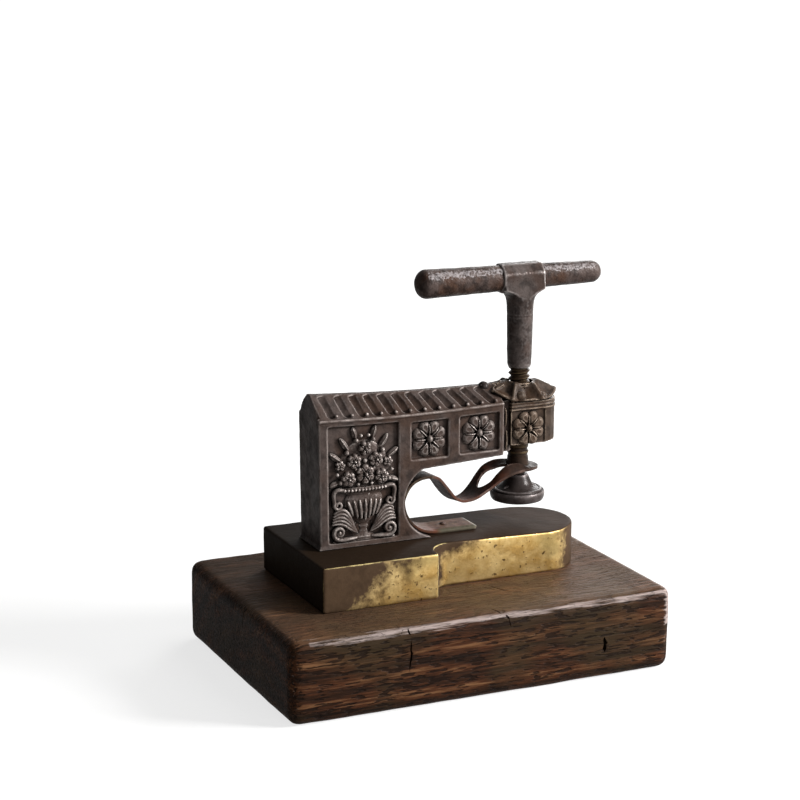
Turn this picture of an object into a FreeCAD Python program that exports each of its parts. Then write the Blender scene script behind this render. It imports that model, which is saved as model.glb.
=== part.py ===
import FreeCAD, Part
import math
import os
from FreeCAD import Vector

# Screw seal press. Millimetres, +Z up, origin at the middle of the oak block's underside.
# +X runs from the post to the head, +Y to the back.
os.makedirs("parts", exist_ok=True)

# ---- driving dimensions -------------------------------------------------
over = 1.0                 # how far a cutting tool runs past the face it cuts

block_length = 258.0
block_width = 179.0
block_height = 53.0
block_corner_radius = 6.0
block_edge_radius = 4.0

axis_x = 67.6              # the screw's axis
mid_y = 4.5                # the press stands a little behind the block's middle
bed_bottom = block_height
bed_height = 29.0
bed_top = bed_bottom + bed_height
bed_left = -91.4
bed_step_x = -13.0         # where the wide back part ends
bed_wide_half = 50.7
bed_narrow_half = 30.25
bed_nose_x = 74.5          # centre of the round front end
bed_inner_radius = 17.0    # in the corners where it narrows
bed_outer_radius = 1.5
bed_edge_radius = 1.2

frame_half = 16.25         # half the thickness of post and arm
post_left = -78.2
arm_end = 49.0
eave_z = 164.5
ridge_left_z = 179.0
ridge_right_z = 174.8
ridge_flat_half = 2.2
arm_under_z = 130.6        # underside of the arm at its end
arm_under_left_x = -7.8    # where the arm's underside meets the round throat
arm_under_left_z = 127.4
throat_x = 3.0             # centre of the round throat
throat_z = 106.0
throat_radius = 24.0
toe_x = -3.5               # the post's foot ends here, under the throat
panel_depth = 1.6
# sunk panels, as (left, right, bottom, top) on both sides of the frame
panels = [(-72.4, -25.0, 85.5, 161.0), (-16.6, 9.6, 134.1, 159.6), (17.3, 46.2, 134.5, 159.8)]

web_half = 9.5             # waist between arm and head
web_overlap = 1.0          # how far it runs into the arm
web_gap = 12.0             # from its right end to the axis
web_bottom = 131.0
head_bottom = 135.2
head_top = 158.2
head_front_half = 12.5     # half thickness of the head
head_facet_left = 11.3     # the front facet's left and right ends, from the axis
head_facet_right = 13.6
head_nose = 24.9           # from the axis to the nose
head_nose_half = 4.0
head_back = 20.9           # from the axis to the head's left end, inside the waist
nose_slant_x = 13.8        # the nose's underside rises from here, from the axis
nose_slant_height = 5.0
collar_spread = 1.05       # the moulding under the cap stands a little proud

cap_tiers = [(1.0, 1.8), (0.86, 2.7)]      # share of the head's outline, height of the tier
cap_crown = [(15.5, 0.0), (13.6, 3.0), (12.0, 4.0)]
cap_hole_radius = 9.2
cap_clear = 10.0           # tools that trim the cap reach this far above it
cap_trim_half = 60.0

knob_x = 42.7
knob_z = 174.2             # middle of the ball
knob_radius = 3.2
knob_stem_radius = 1.6
knob_stem_length = 10.0

thread_radius = 6.95
thread_root_radius = 5.6
thread_pitch = 3.8
thread_rise = 0.5          # where each flank and crest begins, above the turn's start
thread_crest = 1.6
thread_fall = 2.4
thread_bottom = 131.0
thread_top = 184.5
neck_radius = 6.5
shoulder_z = 119.0         # the spring's eye pushes up on this shoulder
waist_radius = 4.9
spigot_radius = 4.0
spigot_bottom = 101.5
spigot_groove_z = 105.5
spigot_groove_half = 1.1
spigot_groove_depth = 0.9
spigot_step = 0.5          # the thicker waist starts this far above the foot

nut_radius = 9.6
nut_flange_radius = 11.2
nut_flange_height = 4.5
nut_top = 168.0
running_gap = 0.06         # radial gap of a running fit
bore_top = 190.0           # tools for the head's bores reach up to here

grub_radius = 2.0
grub_z = 149.0
grub_bite = 1.2            # how deep its point goes into the nut
grub_set_back = 0.6        # from the head's back face to its slotted end
grub_slot_half = 0.35
grub_slot_depth = 0.8

foot_bottom = 95.7
foot_cone_top = 112.6
foot_outline = [(0, foot_bottom), (16.3, foot_bottom), (17.3, 96.5), (17.8, 98.2), (17.9, 100.4),
                (17.4, 102.1), (16.3, 103.0), (14.6, 103.4), (13.9, 104.0), (12.2, 104.6), (10.4, 105.7),
                (8.8, 107.6), (7.5, 110.2), (6.7, foot_cone_top), (0, foot_cone_top)]
die_radius = 14.0
die_thickness = 3.2
die_proud = 0.5            # the die stands this far below the foot
die_ring_depth = 0.4
die_ring_outer = 13.0
die_ring_inner = 12.2
die_rays = 8
die_ray_length = 6.2
die_ray_root = 1.0
die_ray_spread = 0.4       # half the angle of a ray's root, in radians
die_screw_radius = 1.5
die_screw_head_radius = 2.6
die_screw_sink = 0.3
die_screw_head = 1.2
die_screw_offset = 9.5
die_screw_depth = 5.5      # into the foot
die_screw_slot_half = 0.3
disc_gap = 0.2
swivel_pin_radius = 1.0
swivel_pin_offset = spigot_radius + 0.2
swivel_pin_reach = 12.0    # they are dressed flush with the foot's cone

shank_bottom = 184.0
shank_outline = [(6.2, shank_bottom), (7.8, 186.0), (8.1, 195.0), (8.6, 221.0), (8.6, 236.0), (0, 236.0)]
flare_outline = [(0, 227.5), (8.6, 227.5), (9.3, 231.5), (10.8, 234.6), (13.0, 236.6), (13.0, 240.0),
                 (0, 240.0)]
bar_z = 243.1
bar_left = -6.2
bar_right = 126.2
bar_left_radius = 9.4
bar_right_radius = 7.1
bar_dome = 7.0             # length of its rounded ends
barrel_left = 16.0         # cross barrel, from the axis to its ends
barrel_right = 13.6
barrel_flats = 18.6        # across its flats
tenon_radius = 4.6         # the screw's plain top, inside the shank
tenon_top = 226.0
tenon_chamfer = 1.0
pin_z = 218.5
shank_pin_radius = 1.5
shank_pin_half = 8.3

spring_half = 10.0
spring_thickness = 1.6
spring_bend_gap = 0.9      # between the spring and the throat's wall
spring_hole_half = 5.3
spring_eye_start = 42.0
spring_foot_end = 33.0
spring_tip_centre = 2.0    # centre of its round tip, from the axis
spring_bend_turns = (250, 230, 210, 190, 180)
spring_rise = [(-16.9, 111.6), (-13.6, 116.2), (-9.2, 118.7), (-4.8, 119.4), (0.5, 119.1), (5.5, 117.2),
               (10.5, 111.8), (15.2, 106.0), (20.0, 101.6), (25.5, 99.4), (32.0, 101.4), (39.5, 107.0),
               (46.0, 112.4), (53.0, 116.3), (60.5, 117.8), (67.6, 118.0), (75.0, 117.9), (80.5, 117.6)]
spring_steps = 60
spring_low = 80.0          # heights between which its trimming tools reach
spring_high = 130.0
spring_far_left = -60.0
foot_screw_x = 13.5
foot_screw_radius = 2.0
foot_screw_depth = 12.0
foot_screw_play = 0.2
foot_screw_head = [(0, 0), (3.0, 0), (2.8, 0.5), (1.6, 0.9), (0, 0.9)]   # (radius, height)
foot_screw_slot_half = 0.35
foot_screw_slot_low = 0.4
foot_screw_slot_reach = 4.0

base_bolt_x = 62.0
base_bolt_back_x = -68.0
base_bolt_front_y = 20.0
base_bolt_back_y = 36.0
bolt_radius = 4.0
bolt_hole_play = 0.5
bolt_head_radius = 6.5
bolt_head_height = 5.3
washer_radius = 9.0
washer_play = 0.3
washer_thickness = 1.6
counterbore_radius = 10.0
counterbore_depth = 16.0
bolt_depth_in_bed = 18.0

frame_screw_xs = (-62.0, -32.0)
frame_screw_radius = 4.0
frame_screw_head_radius = 7.5
frame_screw_head_height = 4.0
frame_screw_depth = 20.0
slot_width_share = 0.11    # a screw slot's half width, as a share of its head's radius
slot_depth_share = 0.35    # and its depth, as a share of the head's height
dowel_radius = 2.5
dowel_depth = 9.0
dowel_spots = [(-72.0, 8.0), (-24.5, -8.0)]    # x, and y from the middle


# ---- small helpers ------------------------------------------------------
def box(x0, x1, y0, y1, z0, z1):
    return Part.makeBox(x1 - x0, y1 - y0, z1 - z0, Vector(x0, y0, z0))


def rod(radius, x, y, z0, z1):
    return Part.makeCylinder(radius, z1 - z0, Vector(x, y, z0), Vector(0, 0, 1))


def rod_y(radius, x, z, y0, y1):
    return Part.makeCylinder(radius, y1 - y0, Vector(x, y0, z), Vector(0, 1, 0))


def rod_x(radius, y, z, x0, x1):
    return Part.makeCylinder(radius, x1 - x0, Vector(x0, y, z), Vector(1, 0, 0))


def prism(points, direction):
    corners = [Vector(*p) for p in points]
    wire = Part.makePolygon(corners + corners[:1])
    return Part.Face(wire).extrude(Vector(*direction))


def turned(profile, x=axis_x, y=mid_y):
    """Revolve (radius, z) points about the vertical axis through x, y."""
    corners = [Vector(x + r, y, z) for r, z in profile]
    wire = Part.makePolygon(corners + corners[:1])
    return Part.Face(wire).revolve(Vector(x, y, 0), Vector(0, 0, 1), 360)


def upright_edges(shape, z0, z1):
    found = []
    for edge in shape.Edges:
        low, high = edge.BoundBox.ZMin, edge.BoundBox.ZMax
        flat = edge.BoundBox.XLength < 0.01 and edge.BoundBox.YLength < 0.01
        if flat and abs(low - z0) < 0.01 and abs(high - z1) < 0.01:
            found.append(edge)
    return found


def level_edges(shape, z):
    return [e for e in shape.Edges
            if abs(e.BoundBox.ZMin - z) < 0.01 and abs(e.BoundBox.ZMax - z) < 0.01]


def base_bolt_places():
    front = [(base_bolt_x, mid_y - base_bolt_front_y), (base_bolt_x, mid_y + base_bolt_front_y)]
    back = [(base_bolt_back_x, mid_y - base_bolt_back_y), (base_bolt_back_x, mid_y + base_bolt_back_y)]
    return front + back


def frame_screw_places():
    return [(x, mid_y) for x in frame_screw_xs]


def dowel_places():
    return [(x, mid_y + y) for x, y in dowel_spots]


def save(name, shape):
    solids = shape.Solids
    if len(solids) == 1:
        shape = solids[0]
    else:
        shape = Part.makeCompound(solids)
    shape.exportStep("parts/%s.step" % name)
    print("%-18s solids %d volume %.1f valid %s" % (name, len(solids), shape.Volume, shape.isValid()))
    return shape


# ---- fixed body ---------------------------------------------------------
def make_oak_block():
    block = box(-block_length / 2, block_length / 2, -block_width / 2, block_width / 2, 0, block_height)
    block = block.makeFillet(block_corner_radius, upright_edges(block, 0, block_height))
    block = block.makeFillet(block_edge_radius, level_edges(block, block_height))
    for x, y in base_bolt_places():
        block = block.cut(rod(bolt_radius + bolt_hole_play, x, y, -over, block_height + over))
        block = block.cut(rod(counterbore_radius, x, y, -over, counterbore_depth))
    return block


def make_base_bolts():
    under_washer = counterbore_depth - washer_thickness
    bolts = []
    for x, y in base_bolt_places():
        shank = rod(bolt_radius, x, y, under_washer, bed_bottom + bolt_depth_in_bed)
        head = Part.makePolygon([Vector(x + bolt_head_radius * math.cos(math.radians(60 * k)),
                                        y + bolt_head_radius * math.sin(math.radians(60 * k)),
                                        under_washer - bolt_head_height) for k in range(7)])
        bolts.append(shank.fuse(Part.Face(head).extrude(Vector(0, 0, bolt_head_height))))
    return Part.makeCompound(bolts)


def make_base_washers():
    rings = []
    for x, y in base_bolt_places():
        ring = rod(washer_radius, x, y, counterbore_depth - washer_thickness, counterbore_depth)
        rings.append(ring.cut(rod(bolt_radius + washer_play, x, y, 0, block_height)))
    return Part.makeCompound(rings)


def countersunk_screw(radius, head_radius, head_height, x, y, z0, z1):
    """A screw whose head is at z0 and whose point is at z1, above it."""
    head = turned([(0, z0), (head_radius, z0), (radius, z0 + head_height), (0, z0 + head_height)], x, y)
    slot_half = head_radius * slot_width_share
    slot = box(x - head_radius, x + head_radius, y - slot_half, y + slot_half,
               z0 - over, z0 + head_height * slot_depth_share)
    return head.fuse(rod(radius, x, y, z0 + head_height / 2, z1)).cut(slot)


def make_brass_base():
    nose = bed_nose_x
    wide = bed_wide_half
    narrow = bed_narrow_half
    corners = [(bed_left, -wide), (bed_step_x, -wide), (bed_step_x, -narrow), (nose, -narrow),
               (nose, narrow), (bed_step_x, narrow), (bed_step_x, wide), (bed_left, wide)]
    bed = prism([(x, mid_y + y, bed_bottom) for x, y in corners], (0, 0, bed_height))
    bed = bed.fuse(rod(narrow, nose, mid_y, bed_bottom, bed_top)).removeSplitter()
    edges = upright_edges(bed, bed_bottom, bed_top)
    inner = [e for e in edges if abs(e.BoundBox.XMin - bed_step_x) < 0.1
             and abs(abs(e.BoundBox.YMin - mid_y) - narrow) < 0.1]
    bed = bed.makeFillet(bed_inner_radius, inner)
    outer = [e for e in upright_edges(bed, bed_bottom, bed_top)
             if abs(abs(e.BoundBox.YMin - mid_y) - wide) < 0.1]
    bed = bed.makeFillet(bed_outer_radius, outer)
    bed = bed.makeFillet(bed_edge_radius, level_edges(bed, bed_top))
    for x, y in base_bolt_places():
        bed = bed.cut(rod(bolt_radius, x, y, bed_bottom - over, bed_bottom + bolt_depth_in_bed))
    for x, y in frame_screw_places():
        bed = bed.cut(rod(frame_screw_radius, x, y, bed_bottom - over, bed_top + over))
        bed = bed.cut(turned([(0, bed_bottom), (frame_screw_head_radius, bed_bottom),
                              (frame_screw_radius, bed_bottom + frame_screw_head_height),
                              (0, bed_bottom + frame_screw_head_height)], x, y))
    for x, y in dowel_places():
        bed = bed.cut(rod(dowel_radius, x, y, bed_top - dowel_depth, bed_top + over))
    return bed.cut(rod(foot_screw_radius, foot_screw_x, mid_y, bed_top - foot_screw_depth, bed_top + over))


def make_frame_screws():
    return Part.makeCompound([countersunk_screw(frame_screw_radius, frame_screw_head_radius,
                                                frame_screw_head_height, x, y, bed_bottom,
                                                bed_top + frame_screw_depth)
                              for x, y in frame_screw_places()])


def make_frame_dowels():
    return Part.makeCompound([rod(dowel_radius, x, y, bed_top - dowel_depth, bed_top + dowel_depth)
                              for x, y in dowel_places()])


def head_plan():
    """The head's outline seen from above, as (x, y) from its axis."""
    return [(head_facet_right, -head_front_half), (head_nose, -head_nose_half),
            (head_nose, head_nose_half), (head_facet_right, head_front_half),
            (-head_facet_left, head_front_half), (-head_back, web_half),
            (-head_back, -web_half), (-head_facet_left, -head_front_half)]


def head_shape():
    """The head's block, with a slanted underside at its nose and a moulding round its top."""
    head = prism([(axis_x + x, mid_y + y, head_bottom) for x, y in head_plan()],
                 (0, 0, head_top - head_bottom))
    low, far = mid_y - head_front_half - over, 2 * (head_front_half + over)
    slant_end = axis_x + head_nose + over
    rise = nose_slant_height * (slant_end - axis_x - nose_slant_x) / (head_nose - nose_slant_x)
    slant = prism([(axis_x + nose_slant_x, low, head_bottom), (slant_end, low, head_bottom + rise),
                   (slant_end, low, head_bottom - over), (axis_x + nose_slant_x, low, head_bottom - over)],
                  (0, far, 0))
    collar = prism([(axis_x + x, mid_y + y * collar_spread, head_top) for x, y in head_plan()],
                   (0, 0, eave_z - head_top))
    return head.cut(slant).fuse(collar)


def arm_under_height(x):
    share = (x - arm_under_left_x) / (arm_end - arm_under_left_x)
    return arm_under_left_z + share * (arm_under_z - arm_under_left_z)


def make_press_frame():
    front = mid_y - frame_half
    thick = 2 * frame_half
    # side outline of post and arm, under the eaves
    outline = [(post_left, bed_top), (toe_x, bed_top), (toe_x, throat_z), (throat_x, throat_z),
               (throat_x, arm_under_height(throat_x)), (arm_end, arm_under_z), (arm_end, eave_z),
               (post_left, eave_z)]
    body = prism([(x, front, z) for x, z in outline], (0, thick, 0))
    body = body.cut(throat_shape(front, thick))
    web = box(arm_end - web_overlap, axis_x - web_gap, mid_y - web_half, mid_y + web_half, web_bottom, eave_z)
    frame = body.fuse([roof_shape(front, thick), web, head_shape()]).removeSplitter()
    frame = cut_panels(frame, front)
    # bore and seat of the nut, grub screw, knob stem, and the holes in the foot
    frame = frame.cut(rod(nut_radius, axis_x, mid_y, head_bottom - over, bore_top))
    frame = frame.cut(rod(nut_flange_radius, axis_x, mid_y, head_bottom - over,
                          head_bottom + nut_flange_height))
    frame = frame.cut(rod_y(grub_radius, axis_x, grub_z, mid_y, mid_y + head_front_half + over))
    frame = frame.cut(rod(knob_stem_radius, knob_x, mid_y, knob_z - knob_stem_length, bore_top))
    for x, y in frame_screw_places():
        frame = frame.cut(rod(frame_screw_radius, x, y, bed_top - over, bed_top + frame_screw_depth))
    for x, y in dowel_places():
        frame = frame.cut(rod(dowel_radius, x, y, bed_top - over, bed_top + dowel_depth))
    return frame


def throat_shape(front, thick):
    """What the round throat takes away: a rod, but only below the arm's straight underside."""
    throat = rod_y(throat_radius, throat_x, throat_z, front - over, front + thick + over)
    below = [(post_left, bed_top - over), (arm_end, bed_top - over), (arm_end, arm_under_z),
             (arm_under_left_x, arm_under_left_z), (post_left, arm_under_left_z)]
    return throat.common(prism([(x, front - over, z) for x, z in below], (0, thick + 2 * over, 0)))


def roof_shape(front, thick):
    """The gabled roof: its ridge falls slowly from the post to the arm's end."""
    def section(x, ridge_z):
        pts = [(front, eave_z), (mid_y - ridge_flat_half, ridge_z), (mid_y + ridge_flat_half, ridge_z),
               (front + thick, eave_z)]
        corners = [Vector(x, y, z) for y, z in pts]
        return Part.makePolygon(corners + corners[:1])
    return Part.makeLoft([section(post_left, ridge_left_z), section(arm_end, ridge_right_z)], True, True)


def cut_panels(frame, front):
    for left, right, bottom, top in panels:
        for y in (front, front + 2 * frame_half - panel_depth):
            frame = frame.cut(box(left, right, y, y + panel_depth, bottom, top))
    return frame


def make_nut_grub_screw():
    back = mid_y + head_front_half
    grub = rod_y(grub_radius, axis_x, grub_z, mid_y + nut_radius - grub_bite, back - grub_set_back)
    slot = box(axis_x - grub_radius - over, axis_x + grub_radius + over,
               back - grub_set_back - grub_slot_depth, back + over,
               grub_z - grub_slot_half, grub_z + grub_slot_half)
    return grub.cut(slot)


def make_nut_bush():
    bush = rod(nut_radius, axis_x, mid_y, head_bottom, nut_top)
    bush = bush.fuse(rod(nut_flange_radius, axis_x, mid_y, head_bottom, head_bottom + nut_flange_height))
    bush = bush.cut(rod(thread_radius + running_gap, axis_x, mid_y, head_bottom - over, nut_top + over))
    back = mid_y + nut_radius
    return bush.cut(rod_y(grub_radius, axis_x, grub_z, back - grub_bite, back + over))


def make_leaf_cap():
    """Leaf ring: a stepped dome on the head's outline, bored for the nut and the shank."""
    z = eave_z
    cap = None
    for share, height in cap_tiers:
        tier = prism([(axis_x + x * share, mid_y + y * share, z) for x, y in head_plan()], (0, 0, height))
        cap = tier if cap is None else cap.fuse(tier)
        z += height
    crown = [(0, z)] + [(r, z + h) for r, h in cap_crown] + [(0, z + cap_crown[-1][1])]
    cap = cap.fuse(turned(crown))
    cap = cap.cut(rod(nut_radius, axis_x, mid_y, eave_z - over, nut_top))
    cap = cap.cut(rod(cap_hole_radius, axis_x, mid_y, nut_top, z + cap_clear))
    return cap.cut(box(post_left, arm_end, -cap_trim_half, cap_trim_half, eave_z - over, z + cap_clear))


def make_ridge_knob():
    """A ball sunk into the ridge, on a stem that goes down into the arm."""
    ball = Part.makeSphere(knob_radius, Vector(knob_x, mid_y, knob_z))
    ball = ball.cut(roof_shape(mid_y - frame_half, 2 * frame_half))
    stem = rod(knob_stem_radius, knob_x, mid_y, knob_z - knob_stem_length, knob_z + knob_radius / 2)
    return ball.fuse(stem)


def spring_route():
    """Centre line of the lift spring from its foot to its tip, as (x, z)."""
    foot_z = bed_top + spring_thickness / 2
    bend = throat_radius - spring_thickness / 2 - spring_bend_gap
    route = [(spring_foot_end, foot_z), (throat_x + spring_thickness, foot_z)]
    for degrees in spring_bend_turns:
        angle = math.radians(degrees)
        route.append((throat_x + bend * math.cos(angle), throat_z + bend * math.sin(angle)))
    return route + spring_rise


def make_lift_spring():
    """Flat strip along the route, with a long eye round the screw and a round tip."""
    route = [Vector(x, mid_y - spring_half, z) for x, z in spring_route()]
    centre = Part.BSplineCurve()
    centre.interpolate(route[1:])
    half = spring_thickness / 2
    first, last = centre.FirstParameter, centre.LastParameter

    def side(sign):
        points = []
        for k in range(spring_steps + 1):
            place = first + (last - first) * k / spring_steps
            along = centre.tangent(place)[0]
            points.append(centre.value(place) + Vector(-along.z, 0, along.x) * sign * half)
        return points

    def through(points):
        curve = Part.BSplineCurve()
        curve.interpolate(points)
        return curve.toShape()

    inner, outer = side(1), side(-1)
    foot_end = [route[0] + Vector(0, 0, half), route[0] - Vector(0, 0, half)]
    edges = [through(inner), Part.makeLine(inner[-1], outer[-1]), through(outer),
             Part.makeLine(outer[0], foot_end[0]), Part.makeLine(foot_end[0], foot_end[1]),
             Part.makeLine(foot_end[1], inner[0])]
    strip = Part.Face(Part.Wire(Part.__sortEdges__(edges))).extrude(Vector(0, 2 * spring_half, 0))
    low, high = mid_y - spring_hole_half, mid_y + spring_hole_half
    tip_x = axis_x + spring_tip_centre
    eye = box(spring_eye_start, axis_x, low, high, spring_low, spring_high)
    eye = eye.fuse([rod(spring_hole_half, x, mid_y, spring_low, spring_high)
                    for x in (spring_eye_start, axis_x)])
    keep = box(spring_far_left, tip_x, mid_y - spring_half, mid_y + spring_half, spring_low, spring_high)
    keep = keep.fuse(rod(spring_half, tip_x, mid_y, spring_low, spring_high))
    strip = strip.common(keep).cut(eye)
    return strip.cut(rod(foot_screw_radius + foot_screw_play, foot_screw_x, mid_y,
                         bed_top - over, bed_top + spring_thickness + over))


def make_spring_foot_screw():
    top = bed_top + spring_thickness
    head = turned([(radius, top + height) for radius, height in foot_screw_head], foot_screw_x, mid_y)
    slot_low = top + foot_screw_slot_low
    slot = box(foot_screw_x - foot_screw_slot_reach, foot_screw_x + foot_screw_slot_reach,
               mid_y - foot_screw_slot_half, mid_y + foot_screw_slot_half, slot_low, top + over)
    stem = rod(foot_screw_radius, foot_screw_x, mid_y, bed_top - foot_screw_depth, slot_low)
    return head.fuse(stem).cut(slot)


# ---- ram: slides with the screw, doesn't turn ---------------------------
def die_bottom():
    return foot_bottom - die_proud


def die_screw_xs():
    return [axis_x - die_screw_offset, axis_x + die_screw_offset]


def make_ram_foot():
    foot = turned(foot_outline)
    foot = foot.cut(rod(die_radius, axis_x, mid_y, foot_bottom - over, die_bottom() + die_thickness))
    foot = foot.cut(rod(spigot_radius + running_gap, axis_x, mid_y, foot_bottom, foot_cone_top + over))
    foot = foot.cut(swivel_pin_rods())
    for x in die_screw_xs():
        foot = foot.cut(rod(die_screw_radius, x, mid_y, foot_bottom, foot_bottom + die_screw_depth))
    return foot


def swivel_pin_rods():
    return Part.makeCompound([rod_x(swivel_pin_radius, mid_y + side * swivel_pin_offset, spigot_groove_z,
                                    axis_x - swivel_pin_reach, axis_x + swivel_pin_reach)
                              for side in (-1, 1)])


def make_swivel_pins():
    return swivel_pin_rods().common(turned(foot_outline))


def make_seal_die():
    """Engraved disc: a plain ring and an eight-pointed star, sunk in its face."""
    low = die_bottom()
    die = rod(die_radius, axis_x, mid_y, low, low + die_thickness)
    ring = rod(die_ring_outer, axis_x, mid_y, low - over, low + die_ring_depth)
    die = die.cut(ring.cut(rod(die_ring_inner, axis_x, mid_y, low - 2 * over, low + over)))
    for k in range(die_rays):
        angle = 2 * math.pi * k / die_rays
        corners = [(die_ray_root, angle + die_ray_spread), (die_ray_length, angle),
                   (die_ray_root, angle - die_ray_spread)]
        ray = prism([(axis_x + radius * math.cos(turn), mid_y + radius * math.sin(turn), low)
                     for radius, turn in corners], (0, 0, die_ring_depth))
        die = die.cut(ray)
    for x in die_screw_xs():
        die = die.cut(rod(die_screw_radius, x, mid_y, low - over, low + die_thickness + over))
        die = die.cut(rod(die_screw_head_radius, x, mid_y, low - over, low + die_screw_sink + die_screw_head))
    return die


def make_die_screws():
    head_low = die_bottom() + die_screw_sink
    head_top_z = head_low + die_screw_head
    screws = []
    for x in die_screw_xs():
        screw = rod(die_screw_head_radius, x, mid_y, head_low, head_top_z)
        screw = screw.fuse(rod(die_screw_radius, x, mid_y, head_low, foot_bottom + die_screw_depth))
        slot = box(x - die_screw_head_radius - over, x + die_screw_head_radius + over,
                   mid_y - die_screw_slot_half, mid_y + die_screw_slot_half, die_bottom(),
                   (head_low + head_top_z) / 2)
        screws.append(screw.cut(slot))
    return Part.makeCompound(screws)


def make_thrust_disc():
    return rod(spigot_radius - disc_gap, axis_x, mid_y, die_bottom() + die_thickness, spigot_bottom)


# ---- screw: turns in the nut --------------------------------------------
def thread_profile():
    """Zigzag of the thread from bottom to top, as (radius, z)."""
    turns = int((thread_top - over - thread_bottom) / thread_pitch)
    points = []
    for k in range(turns):
        z = thread_bottom + k * thread_pitch
        points += [(thread_root_radius, z), (thread_root_radius, z + thread_rise),
                   (thread_radius, z + thread_crest), (thread_radius, z + thread_fall)]
    return points + [(thread_root_radius, thread_bottom + turns * thread_pitch)]


def make_press_screw():
    groove_low, groove_high = spigot_groove_z - spigot_groove_half, spigot_groove_z + spigot_groove_half
    groove_radius = spigot_radius - spigot_groove_depth
    step_z = foot_cone_top + spigot_step
    low = [(0, spigot_bottom), (spigot_radius, spigot_bottom), (spigot_radius, groove_low),
           (groove_radius, groove_low), (groove_radius, groove_high), (spigot_radius, groove_high),
           (spigot_radius, step_z), (waist_radius, step_z), (waist_radius, shoulder_z),
           (neck_radius, shoulder_z), (neck_radius, thread_bottom)]
    top = [(thread_root_radius, shank_bottom), (tenon_radius, shank_bottom),
           (tenon_radius, tenon_top - tenon_chamfer), (tenon_radius - tenon_chamfer, tenon_top),
           (0, tenon_top)]
    screw = turned(low + thread_profile() + top)
    return screw.cut(shank_pin_rod())


def shank_pin_rod():
    return rod_y(shank_pin_radius, axis_x, pin_z, mid_y - shank_pin_half, mid_y + shank_pin_half)


def make_shank_pin():
    return shank_pin_rod()


def bar_radius(x):
    share = (x - bar_left) / (bar_right - bar_left)
    return bar_left_radius + share * (bar_right_radius - bar_left_radius)


def bar_cone(x0, x1):
    return Part.makeCone(bar_radius(x0), bar_radius(x1), x1 - x0, Vector(x0, mid_y, bar_z), Vector(1, 0, 0))


def make_handle_hub():
    shank = turned([(0, shank_bottom)] + shank_outline)
    across = barrel_flats / 2
    reach = across * math.tan(math.pi / 8)
    outline = [(-reach, -across), (reach, -across), (across, -reach), (across, reach),
               (reach, across), (-reach, across), (-across, reach), (-across, -reach)]
    barrel = prism([(axis_x - barrel_left, mid_y + y, bar_z + z) for y, z in outline],
                   (barrel_left + barrel_right, 0, 0))
    flare = turned(flare_outline)
    flare = flare.common(box(axis_x - barrel_right, axis_x + barrel_right, mid_y - across, mid_y + across,
                             flare_outline[0][1] - over, flare_outline[-1][1]))
    hub = barrel.fuse([shank, flare]).removeSplitter()
    hub = hub.cut(bar_cone(bar_left + bar_dome, bar_right - bar_dome))
    hub = hub.cut(rod(tenon_radius, axis_x, mid_y, shank_bottom - over, tenon_top))
    return hub.cut(shank_pin_rod())


def make_handle_bar():
    left_x, right_x = bar_left + bar_dome, bar_right - bar_dome
    left = dome_end(left_x, bar_radius(left_x), -bar_dome)
    right = dome_end(right_x, bar_radius(right_x), bar_dome)
    return bar_cone(left_x, right_x).fuse([left, right]).removeSplitter()


def dome_end(x, radius, length):
    """Half an ellipsoid on the end of the bar, its pole at x + length."""
    wide = radius + over
    ball = Part.makeSphere(radius, Vector(0, 0, 0), Vector(0, 0, 1), -90, 90, 360)
    half = ball.common(box(0, wide, -wide, wide, -wide, wide))
    scale = FreeCAD.Matrix()
    scale.scale(length / radius, 1, 1)
    end = half.transformGeometry(scale)
    end.translate(Vector(x, mid_y, bar_z))
    return end


def main():
    makers = [
        ("oak_block", make_oak_block), ("brass_base", make_brass_base), ("press_frame", make_press_frame),
        ("leaf_cap", make_leaf_cap), ("nut_bush", make_nut_bush), ("nut_grub_screw", make_nut_grub_screw),
        ("ridge_knob", make_ridge_knob), ("frame_dowels", make_frame_dowels),
        ("frame_screws", make_frame_screws), ("base_bolts", make_base_bolts),
        ("base_washers", make_base_washers), ("lift_spring", make_lift_spring),
        ("spring_foot_screw", make_spring_foot_screw), ("ram_foot", make_ram_foot),
        ("seal_die", make_seal_die), ("die_screws", make_die_screws), ("swivel_pins", make_swivel_pins),
        ("thrust_disc", make_thrust_disc), ("press_screw", make_press_screw),
        ("handle_hub", make_handle_hub), ("handle_bar", make_handle_bar), ("shank_pin", make_shank_pin),
    ]
    for name, make in makers:
        save(name, make())


main()
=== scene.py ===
import bisect
import math
import random

import bpy
from mathutils import Euler, Matrix, Vector


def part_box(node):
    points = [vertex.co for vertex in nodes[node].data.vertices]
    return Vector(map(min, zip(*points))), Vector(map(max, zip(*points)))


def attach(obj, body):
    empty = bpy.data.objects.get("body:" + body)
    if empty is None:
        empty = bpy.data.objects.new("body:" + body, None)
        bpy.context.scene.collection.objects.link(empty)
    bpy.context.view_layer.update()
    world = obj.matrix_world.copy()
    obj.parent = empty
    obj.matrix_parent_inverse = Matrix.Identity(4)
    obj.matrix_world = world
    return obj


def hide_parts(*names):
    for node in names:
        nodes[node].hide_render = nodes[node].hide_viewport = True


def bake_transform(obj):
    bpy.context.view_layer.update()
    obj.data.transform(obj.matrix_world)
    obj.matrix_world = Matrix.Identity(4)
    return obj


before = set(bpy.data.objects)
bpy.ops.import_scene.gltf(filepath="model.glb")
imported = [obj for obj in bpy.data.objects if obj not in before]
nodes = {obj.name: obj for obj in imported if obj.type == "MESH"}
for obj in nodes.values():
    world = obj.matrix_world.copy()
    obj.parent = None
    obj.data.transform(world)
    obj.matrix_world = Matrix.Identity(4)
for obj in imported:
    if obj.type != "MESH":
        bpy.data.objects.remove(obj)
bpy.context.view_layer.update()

mm = 0.001


# working helpers

def deselectAll():
    bpy.ops.object.select_all(action='DESELECT')


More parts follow.
